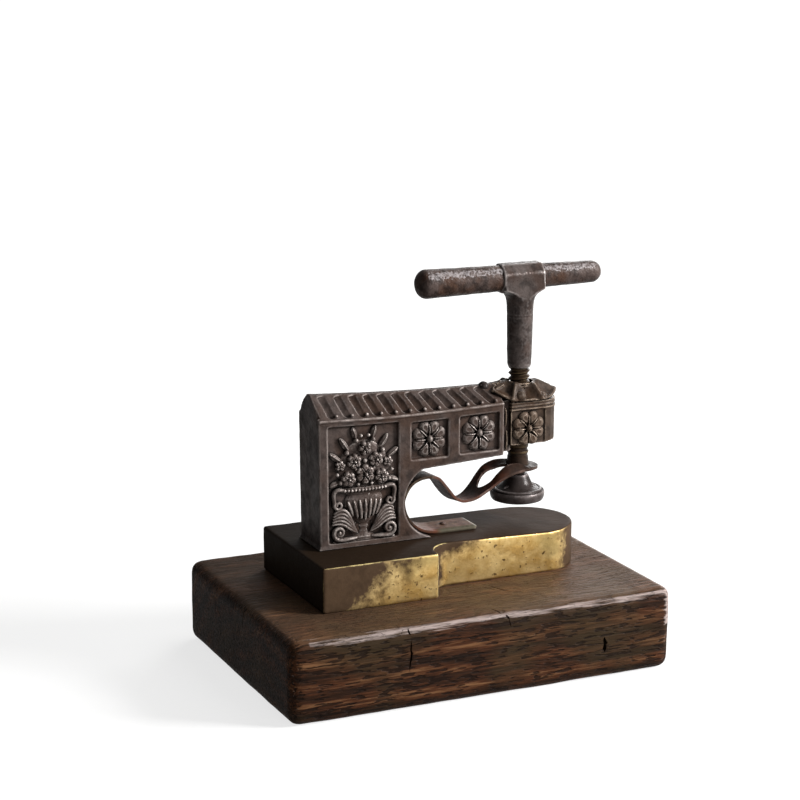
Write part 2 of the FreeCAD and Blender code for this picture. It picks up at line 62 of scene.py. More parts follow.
def activate(*objs):
    deselectAll()
    for obj in objs:
        obj.select_set(True)
    bpy.context.view_layer.objects.active = objs[0]


def inMm(*lengths):
    return tuple(length * mm for length in lengths)


def settle(obj, name=None):
    activate(obj)
    bpy.ops.object.transform_apply(location=True, rotation=True, scale=True)
    if name:
        obj.name = name
        obj.data.name = name
    return obj


def addBox(name, low, high):
    deselectAll()
    middle = [(a + b) / 2 for a, b in zip(low, high)]
    size = [b - a for a, b in zip(low, high)]
    bpy.ops.mesh.primitive_cube_add(size=1, location=middle, scale=size)
    return settle(bpy.context.object, name)


def addRod(name, radius, start, end, sides=48, endRadius=None):
    deselectAll()
    start, end = Vector(start), Vector(end)
    along = end - start
    turn = along.to_track_quat('Z', 'Y').to_euler()
    bpy.ops.mesh.primitive_cone_add(vertices=sides, radius1=radius, depth=along.length,
                                    radius2=radius if endRadius is None else endRadius,
                                    location=(start + end) / 2, rotation=turn)
    return settle(bpy.context.object, name)


def addBall(name, place, size, segments=24, rings=14, turn=(0, 0, 0)):
    deselectAll()
    bpy.ops.mesh.primitive_uv_sphere_add(segments=segments, ring_count=rings, radius=1,
                                         location=place, rotation=turn, scale=size)
    return settle(bpy.context.object, name)


def addOutline(name, points, filled=False):
    # closed line through points in metres
    deselectAll()
    bpy.ops.mesh.primitive_circle_add(vertices=len(points), radius=1,
                                      fill_type='NGON' if filled else 'NOTHING')
    obj = settle(bpy.context.object, name)
    for vertex, place in zip(obj.data.vertices, points):
        vertex.co = place
    return obj


def faceOutwards(obj):
    activate(obj)
    bpy.ops.object.mode_set(mode='EDIT')
    bpy.ops.mesh.select_all(action='SELECT')
    bpy.ops.mesh.normals_make_consistent(inside=False)
    bpy.ops.object.mode_set(mode='OBJECT')
    return obj


def addSpun(name, profile, x, y, steps=72):
    # closed (radius, z) outline in mm, spun about the upright line through x, y in metres
    obj = addOutline(name, [(x + radius * mm, y, z * mm) for radius, z in profile])
    bpy.ops.object.mode_set(mode='EDIT')
    bpy.ops.mesh.select_all(action='SELECT')
    bpy.ops.mesh.spin(steps=steps, angle=2 * math.pi, center=(x, y, 0), axis=(0, 0, 1))
    bpy.ops.mesh.select_all(action='SELECT')
    bpy.ops.mesh.remove_doubles(threshold=0.00001)
    bpy.ops.mesh.dissolve_degenerate(threshold=0.00001)
    bpy.ops.object.mode_set(mode='OBJECT')
    return faceOutwards(obj)


def addModifier(obj, kind, **settings):
    modifier = obj.modifiers.new(kind.title(), kind)
    for key, value in settings.items():
        setattr(modifier, key, value)
    activate(obj)
    bpy.ops.object.modifier_apply(modifier=modifier.name)
    return obj


def combine(obj, tool, operation='DIFFERENCE'):
    addModifier(obj, 'BOOLEAN', operation=operation, object=tool, solver='EXACT')
    bpy.data.objects.remove(tool)
    return obj


def joinAll(name, parts):
    activate(*parts)
    if len(parts) > 1:
        bpy.ops.object.join()
    obj = bpy.context.view_layer.objects.active
    obj.name = name
    obj.data.name = name
    return obj


def copyOf(obj):
    twin = obj.copy()
    twin.data = obj.data.copy()
    bpy.context.scene.collection.objects.link(twin)
    return twin


def turnAbout(obj, centre, axis, angle):
    activate(obj)
    bpy.ops.transform.rotate(value=angle, orient_axis=axis, orient_type='GLOBAL', center_override=centre)
    return settle(obj)


def remeshed(obj, size, smoothing=3):
    addModifier(obj, 'REMESH', mode='VOXEL', voxel_size=size)
    if smoothing:
        addModifier(obj, 'SMOOTH', factor=0.5, iterations=smoothing)
    return obj


def roughened(obj, depth, grain, depthFine=2):
    # uneven hand-worked surface: clouds of the given grain, both in metres
    cloud = bpy.data.textures.new(obj.name + "Clouds", 'CLOUDS')
    cloud.noise_scale = grain
    cloud.noise_depth = depthFine
    addModifier(obj, 'DISPLACE', texture=cloud, texture_coords='LOCAL', strength=depth, mid_level=0.5)
    return obj


def shadeSmooth(obj, angle=40):
    activate(obj)
    bpy.ops.object.shade_smooth_by_angle(angle=math.radians(angle))
    return obj


def finishPiece(obj, material, body, slotName, *replaced):
    obj.data.materials.clear()
    obj.data.materials.append(material)
    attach(obj, body)
    if replaced:
        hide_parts(*replaced)
    return obj


def pick(obj, test, kind='FACE', sharpest=None):
    # enter edit mode with the faces or edges selected whose middle and direction pass the test
    activate(obj)
    bpy.ops.object.mode_set(mode='EDIT')
    bpy.ops.mesh.select_mode(type=kind)
    bpy.ops.mesh.select_all(action='DESELECT')
    if sharpest is not None:
        bpy.ops.mesh.edges_select_sharp(sharpness=math.radians(sharpest))
    bpy.ops.object.mode_set(mode='OBJECT')
    mesh = obj.data
    wasSelected = [edge.select for edge in mesh.edges]
    for vertex in mesh.vertices:
        vertex.select = False
    if kind == 'FACE':
        for face in mesh.polygons:
            face.select = bool(test(face.center, face.normal))
    else:
        for edge, chosen in zip(mesh.edges, wasSelected):
            start, end = (mesh.vertices[i].co for i in edge.vertices)
            passed = test((start + end) / 2, (end - start).normalized())
            edge.select = bool(passed and (sharpest is None or chosen))
    bpy.ops.object.mode_set(mode='EDIT')


def bevelEdges(obj, test, width, segments=4, sharpest=20):
    pick(obj, test, 'EDGE', sharpest)
    bpy.ops.mesh.bevel(offset=width, segments=segments, profile=0.5, clamp_overlap=True)
    bpy.ops.object.mode_set(mode='OBJECT')
    return obj


def resizeFaces(obj, test, factors, centre):
    # draw the faces that pass the test in or out, about centre
    pick(obj, test)
    bpy.ops.transform.resize(value=factors, center_override=centre)
    bpy.ops.object.mode_set(mode='OBJECT')
    return obj


def addSlab(name, outline, push):
    # flat outline of points in metres, extruded by the vector push
    obj = addOutline(name, outline, filled=True)
    bpy.ops.object.mode_set(mode='EDIT')
    bpy.ops.mesh.select_all(action='SELECT')
    bpy.ops.mesh.extrude_region_move(TRANSFORM_OT_translate={"value": push})
    bpy.ops.object.mode_set(mode='OBJECT')
    return faceOutwards(obj)


def paintPoints(obj, name, value):
    # one number for each point of the mesh, worked out from its place
    layer = obj.data.attributes.new(name, 'FLOAT', 'POINT')
    layer.data.foreach_set("value", [value(vertex.co) for vertex in obj.data.vertices])


# camera, floor and light

camera = {"lensMm": 100.32, "sensorMm": 36, "place": (-0.58994, -1.24393, 0.49606), "pitchDown": 13.356,
          "yaw": 24.647, "roll": 0.238}

cameraData = bpy.data.cameras.new("camera")
cameraData.lens = camera["lensMm"]
cameraData.sensor_width = camera["sensorMm"]
cameraObject = bpy.data.objects.new("camera", cameraData)
cameraObject.location = camera["place"]
level = Euler((math.radians(90 - camera["pitchDown"]), 0, -math.radians(camera["yaw"]))).to_matrix()
cameraObject.rotation_euler = (level @ Matrix.Rotation(math.radians(camera["roll"]), 3, 'Z')).to_euler()
bpy.context.scene.collection.objects.link(cameraObject)
bpy.context.scene.camera = cameraObject
bpy.context.scene.view_settings.view_transform = 'Standard'


def addNode(tree, kind, inputs=None, **settings):
    node = tree.nodes.new(kind)
    for key, value in settings.items():
        setattr(node, key, value)
    for socket, value in (inputs or {}).items():
        if isinstance(value, bpy.types.Node):
            # a node given whole passes on its first output that is in use
            value = next(output for output in value.outputs if output.enabled)
        if isinstance(value, bpy.types.NodeSocket):
            tree.links.new(value, node.inputs[socket])
        else:
            node.inputs[socket].default_value = value
    return node


def hexColour(text):
    # sRGB hex to the linear colour that shaders take
    channels = [int(text[i:i + 2], 16) / 255 for i in (1, 3, 5)]
    return [c / 12.92 if c <= 0.04045 else ((c + 0.055) / 1.055) ** 2.4 for c in channels] + [1.0]


def newMaterial(name):
    material = bpy.data.materials.new(name)
    material.use_nodes = True
    tree = material.node_tree
    return material, tree, tree.nodes["Principled BSDF"]


stage = {"floorColour": "#8f8f8e", "floorSize": 24.0, "floorGlow": 0.74, "glowReach": 2.2,
         "worldStrength": 0.10, "key": {"place": (1.3, -0.85, 0.8), "size": 0.5, "watts": 66},
         "fill": {"place": (0.15, -1.5, 0.55), "size": 0.9, "watts": 5},
         "top": {"place": (0.6, 0.1, 1.2), "size": 0.7, "watts": 4},
         "rim": {"place": (0.9, 0.9, 0.6), "size": 0.6, "watts": 8},
         "brightSide": (0.9, -0.44, 0), "leftGlow": 0.12}


def addLamp(name, place, size, watts, target=(0.02, 0, 0.12)):
    data = bpy.data.lights.new(name, 'AREA')
    data.shape = 'SQUARE'
    data.size = size
    data.energy = watts
    lamp = bpy.data.objects.new(name, data)
    lamp.location = place
    lamp.rotation_euler = (Vector(target) - Vector(place)).to_track_quat('-Z', 'Y').to_euler()
    bpy.context.scene.collection.objects.link(lamp)
    return lamp


def seenGlow(tree, place, darkAt, brightAt):
    # 1 for the camera; in reflections it falls off to the left, as with a black flag beside the table
    path = addNode(tree, 'ShaderNodeLightPath')
    side = addNode(tree, 'ShaderNodeVectorMath', {0: place, 1: stage["brightSide"]},
                   operation='DOT_PRODUCT').outputs["Value"]
    shade = addNode(tree, 'ShaderNodeMapRange', {"Value": side, "From Min": darkAt, "From Max": brightAt,
                                                 "To Min": stage["leftGlow"], "To Max": 1.0})
    mirrored = addNode(tree, 'ShaderNodeMath', {0: path.outputs["Is Glossy Ray"], 1: shade},
                       operation='MULTIPLY')
    return addNode(tree, 'ShaderNodeMath', {0: path.outputs["Is Camera Ray"], 1: mirrored},
                   operation='MAXIMUM')


def makeStage():
    deselectAll()
    bpy.ops.mesh.primitive_plane_add(size=stage["floorSize"], location=(0, 0, 0))
    floor = settle(bpy.context.object, "floor")
    material, tree, shader = newMaterial("paperFloor")
    shader.inputs["Base Color"].default_value = hexColour(stage["floorColour"])
    shader.inputs["Roughness"].default_value = 0.9
    place = addNode(tree, 'ShaderNodeTexCoord').outputs["Object"]
    seen = seenGlow(tree, place, -0.5, 0.4)
    away = addNode(tree, 'ShaderNodeVectorMath', {0: place}, operation='LENGTH').outputs["Value"]
    fade = addNode(tree, 'ShaderNodeMapRange', {"Value": away, "From Min": 0.3,
                                                "From Max": stage["glowReach"], "To Min": stage["floorGlow"],
                                                "To Max": 1.0})
    glow = addNode(tree, 'ShaderNodeMath', {0: seen, 1: fade}, operation='MULTIPLY')
    shader.inputs["Emission Color"].default_value = (1, 1, 1, 1)
    tree.links.new(glow.outputs[0], shader.inputs["Emission Strength"])
    floor.data.materials.append(material)
    for name in ("key", "fill", "top", "rim"):
        addLamp(name, **stage[name])
    world = bpy.data.worlds.new("studio")
    world.use_nodes = True
    bpy.context.scene.world = world
    tree = world.node_tree
    background = tree.nodes["Background"]
    seen = seenGlow(tree, addNode(tree, 'ShaderNodeTexCoord').outputs["Generated"], -0.6, 0.45)
    span = addNode(tree, 'ShaderNodeMapRange', {"Value": seen.outputs[0], "To Min": stage["worldStrength"],
                                                "To Max": 1.0})
    background.inputs["Color"].default_value = (1, 1, 1, 1)
    tree.links.new(span.outputs[0], background.inputs["Strength"])


makeStage()
print("stage and camera are set")


# finishes
# noise features are about half a unit of Scale, so a grain of g mm takes Scale 500 / g

oakLook = {"dark": "#150c07", "brown": "#2a190f", "red": "#3f2415", "light": "#6a4a31", "olive": "#33281a",
           "worn": "#9b8d88", "dustAndSheen": "#8c6f57", "fibreWidth": 0.9, "fibreLength": 13, "dashWidth": 0.75,
           "dashLength": 4.5, "bandWidth": 10, "patchSize": 30, "ringWidth": 6.5}


def makeOak():
    # old waxed oak: open pores show as short dark dashes, wax gives a low sheen, rubbed edges are silver,
    # partly from wear and partly as a painted highlight
    look = oakLook
    material, tree, shader = newMaterial("waxedOak")
    place = addNode(tree, 'ShaderNodeTexCoord').outputs["Object"]
    along = addNode(tree, 'ShaderNodeMapping',
                    {"Vector": place, "Scale": (look["fibreWidth"] / look["fibreLength"], 1, 1)})
    fibres = addNode(tree, 'ShaderNodeTexNoise', {"Vector": along, "Scale": 500 / look["fibreWidth"],
                                                  "Detail": 4.0, "Roughness": 0.62})
    dashed = addNode(tree, 'ShaderNodeMapping',
                     {"Vector": place, "Scale": (look["dashWidth"] / look["dashLength"], 1, 1)})
    dashes = addNode(tree, 'ShaderNodeTexNoise', {"Vector": dashed, "Scale": 500 / look["dashWidth"],
                                                  "Detail": 1.0})
    pores = addNode(tree, 'ShaderNodeMapRange', {"Value": dashes, "From Min": 0.54, "From Max": 0.61})
    wide = addNode(tree, 'ShaderNodeMapping', {"Vector": place, "Scale": (0.22, 1, 1)})
    bands = addNode(tree, 'ShaderNodeTexNoise', {"Vector": wide, "Scale": 500 / look["bandWidth"],
                                                 "Detail": 3.0})
    patches = addNode(tree, 'ShaderNodeTexNoise', {"Vector": place, "Scale": 500 / look["patchSize"],
                                                   "Detail": 3.0})
    # growth rings about a heart below the block, seen as arcs on the end grain
    heart = addNode(tree, 'ShaderNodeMapping', {"Vector": place, "Location": (0, 0.05, 0.09),
                                                "Scale": (0.12, 1, 1)})
    rings = addNode(tree, 'ShaderNodeTexWave', {"Vector": heart, "Scale": 160 / look["ringWidth"],
                                                "Distortion": 5.0, "Detail": 3.0, "Detail Scale": 1.2},
                    wave_type='RINGS', rings_direction='X').outputs["Fac"]
    fine = addNode(tree, 'ShaderNodeMath', {0: fibres, 1: 0.55}, operation='MULTIPLY')
    coarse = addNode(tree, 'ShaderNodeMath', {0: bands, 1: 0.33, 2: fine}, operation='MULTIPLY_ADD')
    tone = addNode(tree, 'ShaderNodeMath', {0: rings, 1: 0.12, 2: coarse}, operation='MULTIPLY_ADD')
    colour = addNode(tree, 'ShaderNodeValToRGB', {"Fac": tone})
    stops = [(0.36, look["dark"]), (0.46, look["brown"]), (0.55, look["red"]), (0.66, look["light"])]
    colour.color_ramp.elements.new(0.5)
    colour.color_ramp.elements.new(0.6)
    for element, (position, tone) in zip(colour.color_ramp.elements, stops):
        element.position = position
        element.color = hexColour(tone)
    dull = addNode(tree, 'ShaderNodeMapRange', {"Value": patches, "From Min": 0.48, "From Max": 0.62,
                                                "To Max": 0.7})
    hollow = addNode(tree, 'ShaderNodeMath', {0: pores, 1: 0.82}, operation='MULTIPLY')
    # the top is greyed by dust, and lightened further as a painted sheen where it faces up
    facing = addNode(tree, 'ShaderNodeSeparateXYZ',
                     {0: addNode(tree, 'ShaderNodeNewGeometry').outputs["Normal"]}).outputs[2]
    dustAndSheenShare = addNode(tree, 'ShaderNodeMapRange', {"Value": facing, "From Min": 0.6, "From Max": 0.95,
                                                 "To Max": 0.16})
    # rubbed edges: worn, and painted silver as a highlight where the rounded edge catches the light
    rub = addNode(tree, 'ShaderNodeAttribute', attribute_name="rub").outputs["Fac"]
    broken = addNode(tree, 'ShaderNodeMath', {0: fibres, 1: 1.6, 2: rub}, operation='MULTIPLY_ADD')
    worn = addNode(tree, 'ShaderNodeMapRange', {"Value": broken, "From Min": 1.2, "From Max": 1.55,
                                                "To Max": 0.85})
    for share, tone in ((dull, "olive"), (hollow, "dark"), (dustAndSheenShare, "dustAndSheen"), (worn, "worn")):
        colour = addNode(tree, 'ShaderNodeMix', {0: share, 6: colour, 7: hexColour(look[tone])},
                         data_type='RGBA')
    tree.links.new(colour.outputs[2], shader.inputs["Base Color"])
    gloss = addNode(tree, 'ShaderNodeMapRange', {"Value": fibres, "From Min": 0.3, "From Max": 0.7,
                                                 "To Min": 0.62, "To Max": 0.42})
    tree.links.new(gloss.outputs[0], shader.inputs["Roughness"])
    shader.inputs["Specular IOR Level"].default_value = 0.05
    grooves = addNode(tree, 'ShaderNodeBump', {"Height": pores, "Distance": 0.5 * mm}, invert=True)
    relief = addNode(tree, 'ShaderNodeBump', {"Height": fibres, "Distance": 0.9 * mm, "Normal": grooves})
    tree.links.new(relief.outputs[0], shader.inputs["Normal"])
    return material


brassLook = {"bright": "#d6b97e", "warm": "#b28f52", "olive": "#988454", "speck": "#4b3620",
             "rubbed": "#d8c387", "patina": "#2c2018", "patinaAndShadeBlack": "#20170f", "patinaSide": "#463628",
             "speckSize": 1.6, "mottleSize": 7, "patchSize": 22}


def makeAgedBrass():
    # cast and filed brass: gold where hands rub its sides, brown-black patina on top and at its ends, with
    # painted shade that blackens the left end and the left of the patina
    look = brassLook
    material, tree, shader = newMaterial("agedBrass")
    place = addNode(tree, 'ShaderNodeTexCoord').outputs["Object"]
    facing = addNode(tree, 'ShaderNodeSeparateXYZ',
                     {0: addNode(tree, 'ShaderNodeNewGeometry').outputs["Normal"]}).outputs
    x = addNode(tree, 'ShaderNodeSeparateXYZ', {0: place}).outputs[0]
    patches = addNode(tree, 'ShaderNodeTexNoise', {"Vector": place, "Scale": 500 / look["patchSize"],
                                                   "Detail": 4.0})
    mottle = addNode(tree, 'ShaderNodeTexNoise', {"Vector": place, "Scale": 500 / look["mottleSize"],
                                                  "Detail": 5.0, "Roughness": 0.65})
    specks = addNode(tree, 'ShaderNodeTexNoise', {"Vector": place, "Scale": 500 / look["speckSize"],
                                                  "Detail": 3.0})
    # patina: the top, both ends, the wide side's far upper part, a patch beside the step; on the left end the
    # dark is painted shade
    top = addNode(tree, 'ShaderNodeMapRange', {"Value": facing[2], "From Min": 0.45, "From Max": 0.8})
    end = addNode(tree, 'ShaderNodeMapRange', {"Value": facing[0], "From Min": -0.5, "From Max": -0.85})
    nose = addNode(tree, 'ShaderNodeMapRange', {"Value": facing[0], "From Min": 0.1, "From Max": 0.6,
                                                "To Max": 0.9})
    slope = addNode(tree, 'ShaderNodeVectorMath', {0: place, 1: (1, 0, -1.1)},
                    operation='DOT_PRODUCT').outputs["Value"]
    side = addNode(tree, 'ShaderNodeMapRange', {"Value": slope, "From Min": -96 * mm, "From Max": -150 * mm})
    steep = addNode(tree, 'ShaderNodeVectorMath', {0: place, 1: (1, 0, -3.2)},
                    operation='DOT_PRODUCT').outputs["Value"]
    corner = addNode(tree, 'ShaderNodeMapRange', {"Value": steep, "From Min": -206 * mm,
                                                  "From Max": -262 * mm})
    past = addNode(tree, 'ShaderNodeMapRange', {"Value": x, "From Min": -14 * mm, "From Max": -11 * mm})
    patch = addNode(tree, 'ShaderNodeMath', {0: corner, 1: past}, operation='MULTIPLY')
    flat = addNode(tree, 'ShaderNodeMath', {0: top, 1: end}, operation='MAXIMUM')
    curved = addNode(tree, 'ShaderNodeMath', {0: flat, 1: nose}, operation='MAXIMUM')
    sides = addNode(tree, 'ShaderNodeMath', {0: side, 1: patch}, operation='MAXIMUM')
    cover = addNode(tree, 'ShaderNodeMath', {0: curved, 1: sides}, operation='MAXIMUM')
    ragged = addNode(tree, 'ShaderNodeMath', {0: mottle, 1: 1.5, 2: cover}, operation='MULTIPLY_ADD')
    patina = addNode(tree, 'ShaderNodeMapRange', {"Value": ragged, "From Min": 0.9, "From Max": 1.42})
    gold = addNode(tree, 'ShaderNodeMapRange', {"Value": mottle, "From Min": 0.38, "From Max": 0.62})
    green = addNode(tree, 'ShaderNodeMapRange', {"Value": patches, "From Min": 0.5, "From Max": 0.62,
                                                 "To Max": 0.7})
    spots = addNode(tree, 'ShaderNodeMapRange', {"Value": specks, "From Min": 0.62, "From Max": 0.68,
                                                 "To Max": 0.85})
    metal = hexColour(look["bright"])
    for share, tone in ((gold, "warm"), (green, "olive"), (spots, "speck")):
        metal = addNode(tree, 'ShaderNodeMix', {0: share, 6: metal, 7: hexColour(look[tone])},
                        data_type='RGBA')
    # painted shade: the patina is black towards the left and browner towards the lit right; black streaks of
    # real mottle lie over it
    lit = addNode(tree, 'ShaderNodeMapRange', {"Value": x, "From Min": -70 * mm, "From Max": 30 * mm})
    onSide = addNode(tree, 'ShaderNodeMapRange', {"Value": facing[1], "From Min": -0.4, "From Max": -0.8})
    streaky = addNode(tree, 'ShaderNodeMapRange', {"Value": mottle, "From Min": 0.42, "From Max": 0.66,
                                                   "To Max": 0.55})
    oxide = hexColour(look["patinaAndShadeBlack"])
    for share, tone in ((lit, "patina"), (onSide, "patinaSide"), (streaky, "patinaAndShadeBlack")):
        oxide = addNode(tree, 'ShaderNodeMix', {0: share, 6: oxide, 7: hexColour(look[tone])},
                        data_type='RGBA')
    covered = addNode(tree, 'ShaderNodeMix', {0: patina, 6: metal, 7: oxide}, data_type='RGBA')
    rub = addNode(tree, 'ShaderNodeAttribute', attribute_name="rub").outputs["Fac"]
    line = addNode(tree, 'ShaderNodeMath', {0: mottle, 1: 1.6, 2: rub}, operation='MULTIPLY_ADD')
    worn = addNode(tree, 'ShaderNodeMapRange', {"Value": line, "From Min": 1.5, "From Max": 2.0,
                                                "To Max": 0.9})
    final = addNode(tree, 'ShaderNodeMix', {0: worn, 6: covered, 7: hexColour(look["rubbed"])},
                    data_type='RGBA')
    tree.links.new(final.outputs[2], shader.inputs["Base Color"])
    bare = addNode(tree, 'ShaderNodeMapRange', {"Value": patina, "To Min": 0.92, "To Max": 0.0})
    tree.links.new(bare.outputs[0], shader.inputs["Metallic"])
    dulled = addNode(tree, 'ShaderNodeMapRange', {"Value": patina, "To Min": 0.36, "To Max": 0.62})
    tree.links.new(dulled.outputs[0], shader.inputs["Roughness"])
    shader.inputs["Specular IOR Level"].default_value = 0.04
    dents = addNode(tree, 'ShaderNodeBump', {"Height": mottle, "Distance": 0.3 * mm})
    pits = addNode(tree, 'ShaderNodeBump', {"Height": specks, "Distance": 0.12 * mm, "Normal": dents})
    tree.links.new(pits.outputs[0], shader.inputs["Normal"])
    return material


def makeOldMetal(name, look):
    # browned metal: oxide and old oil lie black in the hollows, deepened there by painted shade; what stands
    # out is lighter, rubbed by hands and cloth and with a painted highlight
    material, tree, shader = newMaterial(name)
    place = addNode(tree, 'ShaderNodeTexCoord').outputs["Object"]
    grain = addNode(tree, 'ShaderNodeTexNoise', {"Vector": place, "Scale": 500 / look["grain"],
                                                 "Detail": 3.0})
    mottle = addNode(tree, 'ShaderNodeTexNoise', {"Vector": place, "Scale": 500 / look["mottle"],
                                                  "Detail": 4.0, "Roughness": 0.6})
    patches = addNode(tree, 'ShaderNodeTexNoise', {"Vector": place, "Scale": 500 / look["patch"],
                                                   "Detail": 3.0})
    rusty = addNode(tree, 'ShaderNodeMapRange', {"Value": patches, "From Min": 0.44, "From Max": 0.6})
    body = addNode(tree, 'ShaderNodeMix', {0: rusty, 6: hexColour(look["body"]), 7: hexColour(look["rust"])},
                   data_type='RGBA')
    if "border" in look:
        # the painted border is another colour than the middle
        rub = addNode(tree, 'ShaderNodeAttribute', attribute_name="rub").outputs["Fac"]
        body = addNode(tree, 'ShaderNodeMix', {0: rub, 6: body, 7: hexColour(look["border"])},
                       data_type='RGBA')
        # and the metal is blacker where it rises from the bed
        height = addNode(tree, 'ShaderNodeSeparateXYZ', {0: place}).outputs[2]
        risen = addNode(tree, 'ShaderNodeMapRange', {"Value": height, "From Min": 85.5 * mm,
                                                     "From Max": 91 * mm, "To Max": 0.85})
        body = addNode(tree, 'ShaderNodeMix', {0: risen, 6: body, 7: hexColour(look["risen"])},
                       data_type='RGBA')
    sooty = addNode(tree, 'ShaderNodeMapRange', {"Value": mottle, "From Min": 0.42, "From Max": 0.66,
                                                 "To Max": look["mottling"]})
    dirty = addNode(tree, 'ShaderNodeMix', {0: sooty, 6: body, 7: hexColour(look["dark"])}, data_type='RGBA')
    # painted highlight: edges that stand out take the light raised colour, where they are worn and where they
    # would catch the light
    sharp = addNode(tree, 'ShaderNodeNewGeometry').outputs["Pointiness"]
    edge = addNode(tree, 'ShaderNodeMapRange', {"Value": sharp, "From Min": look["edge"][0],
                                                "From Max": look["edge"][1]})
    patchy = addNode(tree, 'ShaderNodeMapRange', {"Value": mottle, "From Min": 0.36, "From Max": 0.62,
                                                  "To Min": 0.18})
    raised = addNode(tree, 'ShaderNodeMath', {0: edge, 1: patchy}, operation='MULTIPLY')
    if "border" in look:
        # only the border gets the light raised colour, rubbed and with a painted highlight
        bordered = addNode(tree, 'ShaderNodeMapRange', {"Value": rub, "To Min": 0.15})
        raised = addNode(tree, 'ShaderNodeMath', {0: raised, 1: bordered}, operation='MULTIPLY')
    if "streak" in look:
        # painted highlight: a silvery streak along the side that faces this way, where the lamp's reflection
        # lies
        facing = addNode(tree, 'ShaderNodeTexCoord').outputs["Normal"]
        toward = addNode(tree, 'ShaderNodeVectorMath', {0: facing, 1: look["streak"]},
                         operation='DOT_PRODUCT').outputs["Value"]
        broken = addNode(tree, 'ShaderNodeMath', {0: grain, 1: 0.3, 2: toward}, operation='MULTIPLY_ADD')
        streakHighlight = addNode(tree, 'ShaderNodeMapRange', {"Value": broken, "From Min": 1.1, "From Max": 1.17,
                                                      "To Max": 0.75})
        raised = addNode(tree, 'ShaderNodeMath', {0: raised, 1: streakHighlight}, operation='MAXIMUM')
    rubbed = addNode(tree, 'ShaderNodeMix', {0: raised, 6: dirty, 7: hexColour(look["raised"])},
                     data_type='RGBA')
    # painted shade: ambient occlusion darkens the hollows, over the oxide and old oil that lie in them
    openness = addNode(tree, 'ShaderNodeAmbientOcclusion', {"Distance": look["reach"] * mm},
                       samples=8).outputs["AO"]
    hollow = addNode(tree, 'ShaderNodeMapRange', {"Value": openness, "From Min": 0.45, "From Max": 0.9,
                                                  "To Min": 1.0, "To Max": 0.0})
    final = addNode(tree, 'ShaderNodeMix', {0: hollow, 6: rubbed, 7: hexColour(look["dark"])},
                    data_type='RGBA')
    tree.links.new(final.outputs[2], shader.inputs["Base Color"])
    bare = addNode(tree, 'ShaderNodeMapRange', {"Value": raised, "To Min": look["metal"][0],
                                                "To Max": look["metal"][1]})
    tree.links.new(bare.outputs[0], shader.inputs["Metallic"])
    gloss = addNode(tree, 'ShaderNodeMapRange', {"Value": mottle, "From Min": 0.3, "From Max": 0.7,
                                                 "To Min": look["rough"][0], "To Max": look["rough"][1]})
    tree.links.new(gloss.outputs[0], shader.inputs["Roughness"])
    shader.inputs["Specular IOR Level"].default_value = 0.08
    uneven = addNode(tree, 'ShaderNodeBump', {"Height": mottle, "Distance": look["relief"] * mm})
    sandy = addNode(tree, 'ShaderNodeBump', {"Height": grain, "Distance": look["relief"] * 0.6 * mm,
                                             "Normal": uneven})
    tree.links.new(sandy.outputs[0], shader.inputs["Normal"])
    return material


# sizes of grain, mottle and patch, and the reach of the dirt and painted shade in hollows, are in mm
castIronLook = {"dark": "#0c0908", "body": "#463c38", "rust": "#3e3029", "raised": "#b0a49e", "grain": 0.7,
                "mottle": 3.2, "patch": 14, "mottling": 0.6, "edge": (0.509, 0.585), "reach": 2.9,
                "metal": (0.08, 0.5), "rough": (0.34, 0.54), "relief": 0.32}
castIron = makeOldMetal("brownedCastIron", castIronLook)
# relief finishes: a lighter raised colour, wear with a stronger painted highlight on the reliefs' edges
reliefIron = makeOldMetal("rubbedAndHighlitCastIron", {**castIronLook, "body": "#493f3b", "rust": "#3f342f",
                                             "raised": "#b9afa9", "mottling": 0.35, "edge": (0.5, 0.56),
                                             "reach": 2.4, "metal": (0.12, 0.5), "rough": (0.28, 0.44)})
headReliefIron = makeOldMetal("rubbedAndHighlitWarmIron", {**castIronLook, "body": "#493c32", "rust": "#403026",
                                                 "raised": "#bba997", "mottling": 0.35, "edge": (0.5, 0.56),
                                                 "reach": 2.4})
headIron = makeOldMetal("warmCastIron", {**castIronLook, "body": "#3d322a", "rust": "#38291e",
                                         "raised": "#ab9886", "patch": 9})
forgedIron = makeOldMetal("forgedIron", {**castIronLook, "body": "#2c2624", "rust": "#28201d",
                                         "raised": "#8f8583", "patch": 9, "rough": (0.26, 0.42),
                                         "relief": 0.2})
# hub finish: a bright raised colour, wear with a strong painted highlight along the barrel's edges
hubIron = makeOldMetal("rubbedAndHighlitForgedIron", {**castIronLook, "body": "#4b4340", "rust": "#3c302b",
                                            "raised": "#d0c6c2", "edge": (0.503, 0.56), "patch": 9,
                                            "metal": (0.3, 0.7), "rough": (0.26, 0.42), "relief": 0.34})
# the bar's finish carries a painted highlight streak along its upper front side
barIron = makeOldMetal("handWornAndHighlitIron", {**castIronLook, "dark": "#140c09", "body": "#453a36",
                                        "rust": "#3f2d24", "raised": "#8f8989", "streak": (0, -0.73, 0.683),
                                        "mottle": 2.6, "patch": 7, "mottling": 0.8, "metal": (0.06, 0.28),
                                        "rough": (0.32, 0.5), "relief": 0.45})
rustedSpring = makeOldMetal("rustedSpringSteel", {**castIronLook, "dark": "#0f0907", "body": "#2c201a",
                                                  "rust": "#532e20", "raised": "#6b5850", "patch": 18,
                                                  "metal": (0.04, 0.3), "mottle": 2.4, "relief": 0.2})
springTab = makeOldMetal("springTabSteel", {**castIronLook, "dark": "#1a100b", "body": "#50331f",
                                            "rust": "#5a3425", "border": "#4d493d", "risen": "#20160f",
                                            "raised": "#a09682", "patch": 9, "metal": (0.04, 0.4),
                                            "mottle": 2.4, "relief": 0.2})
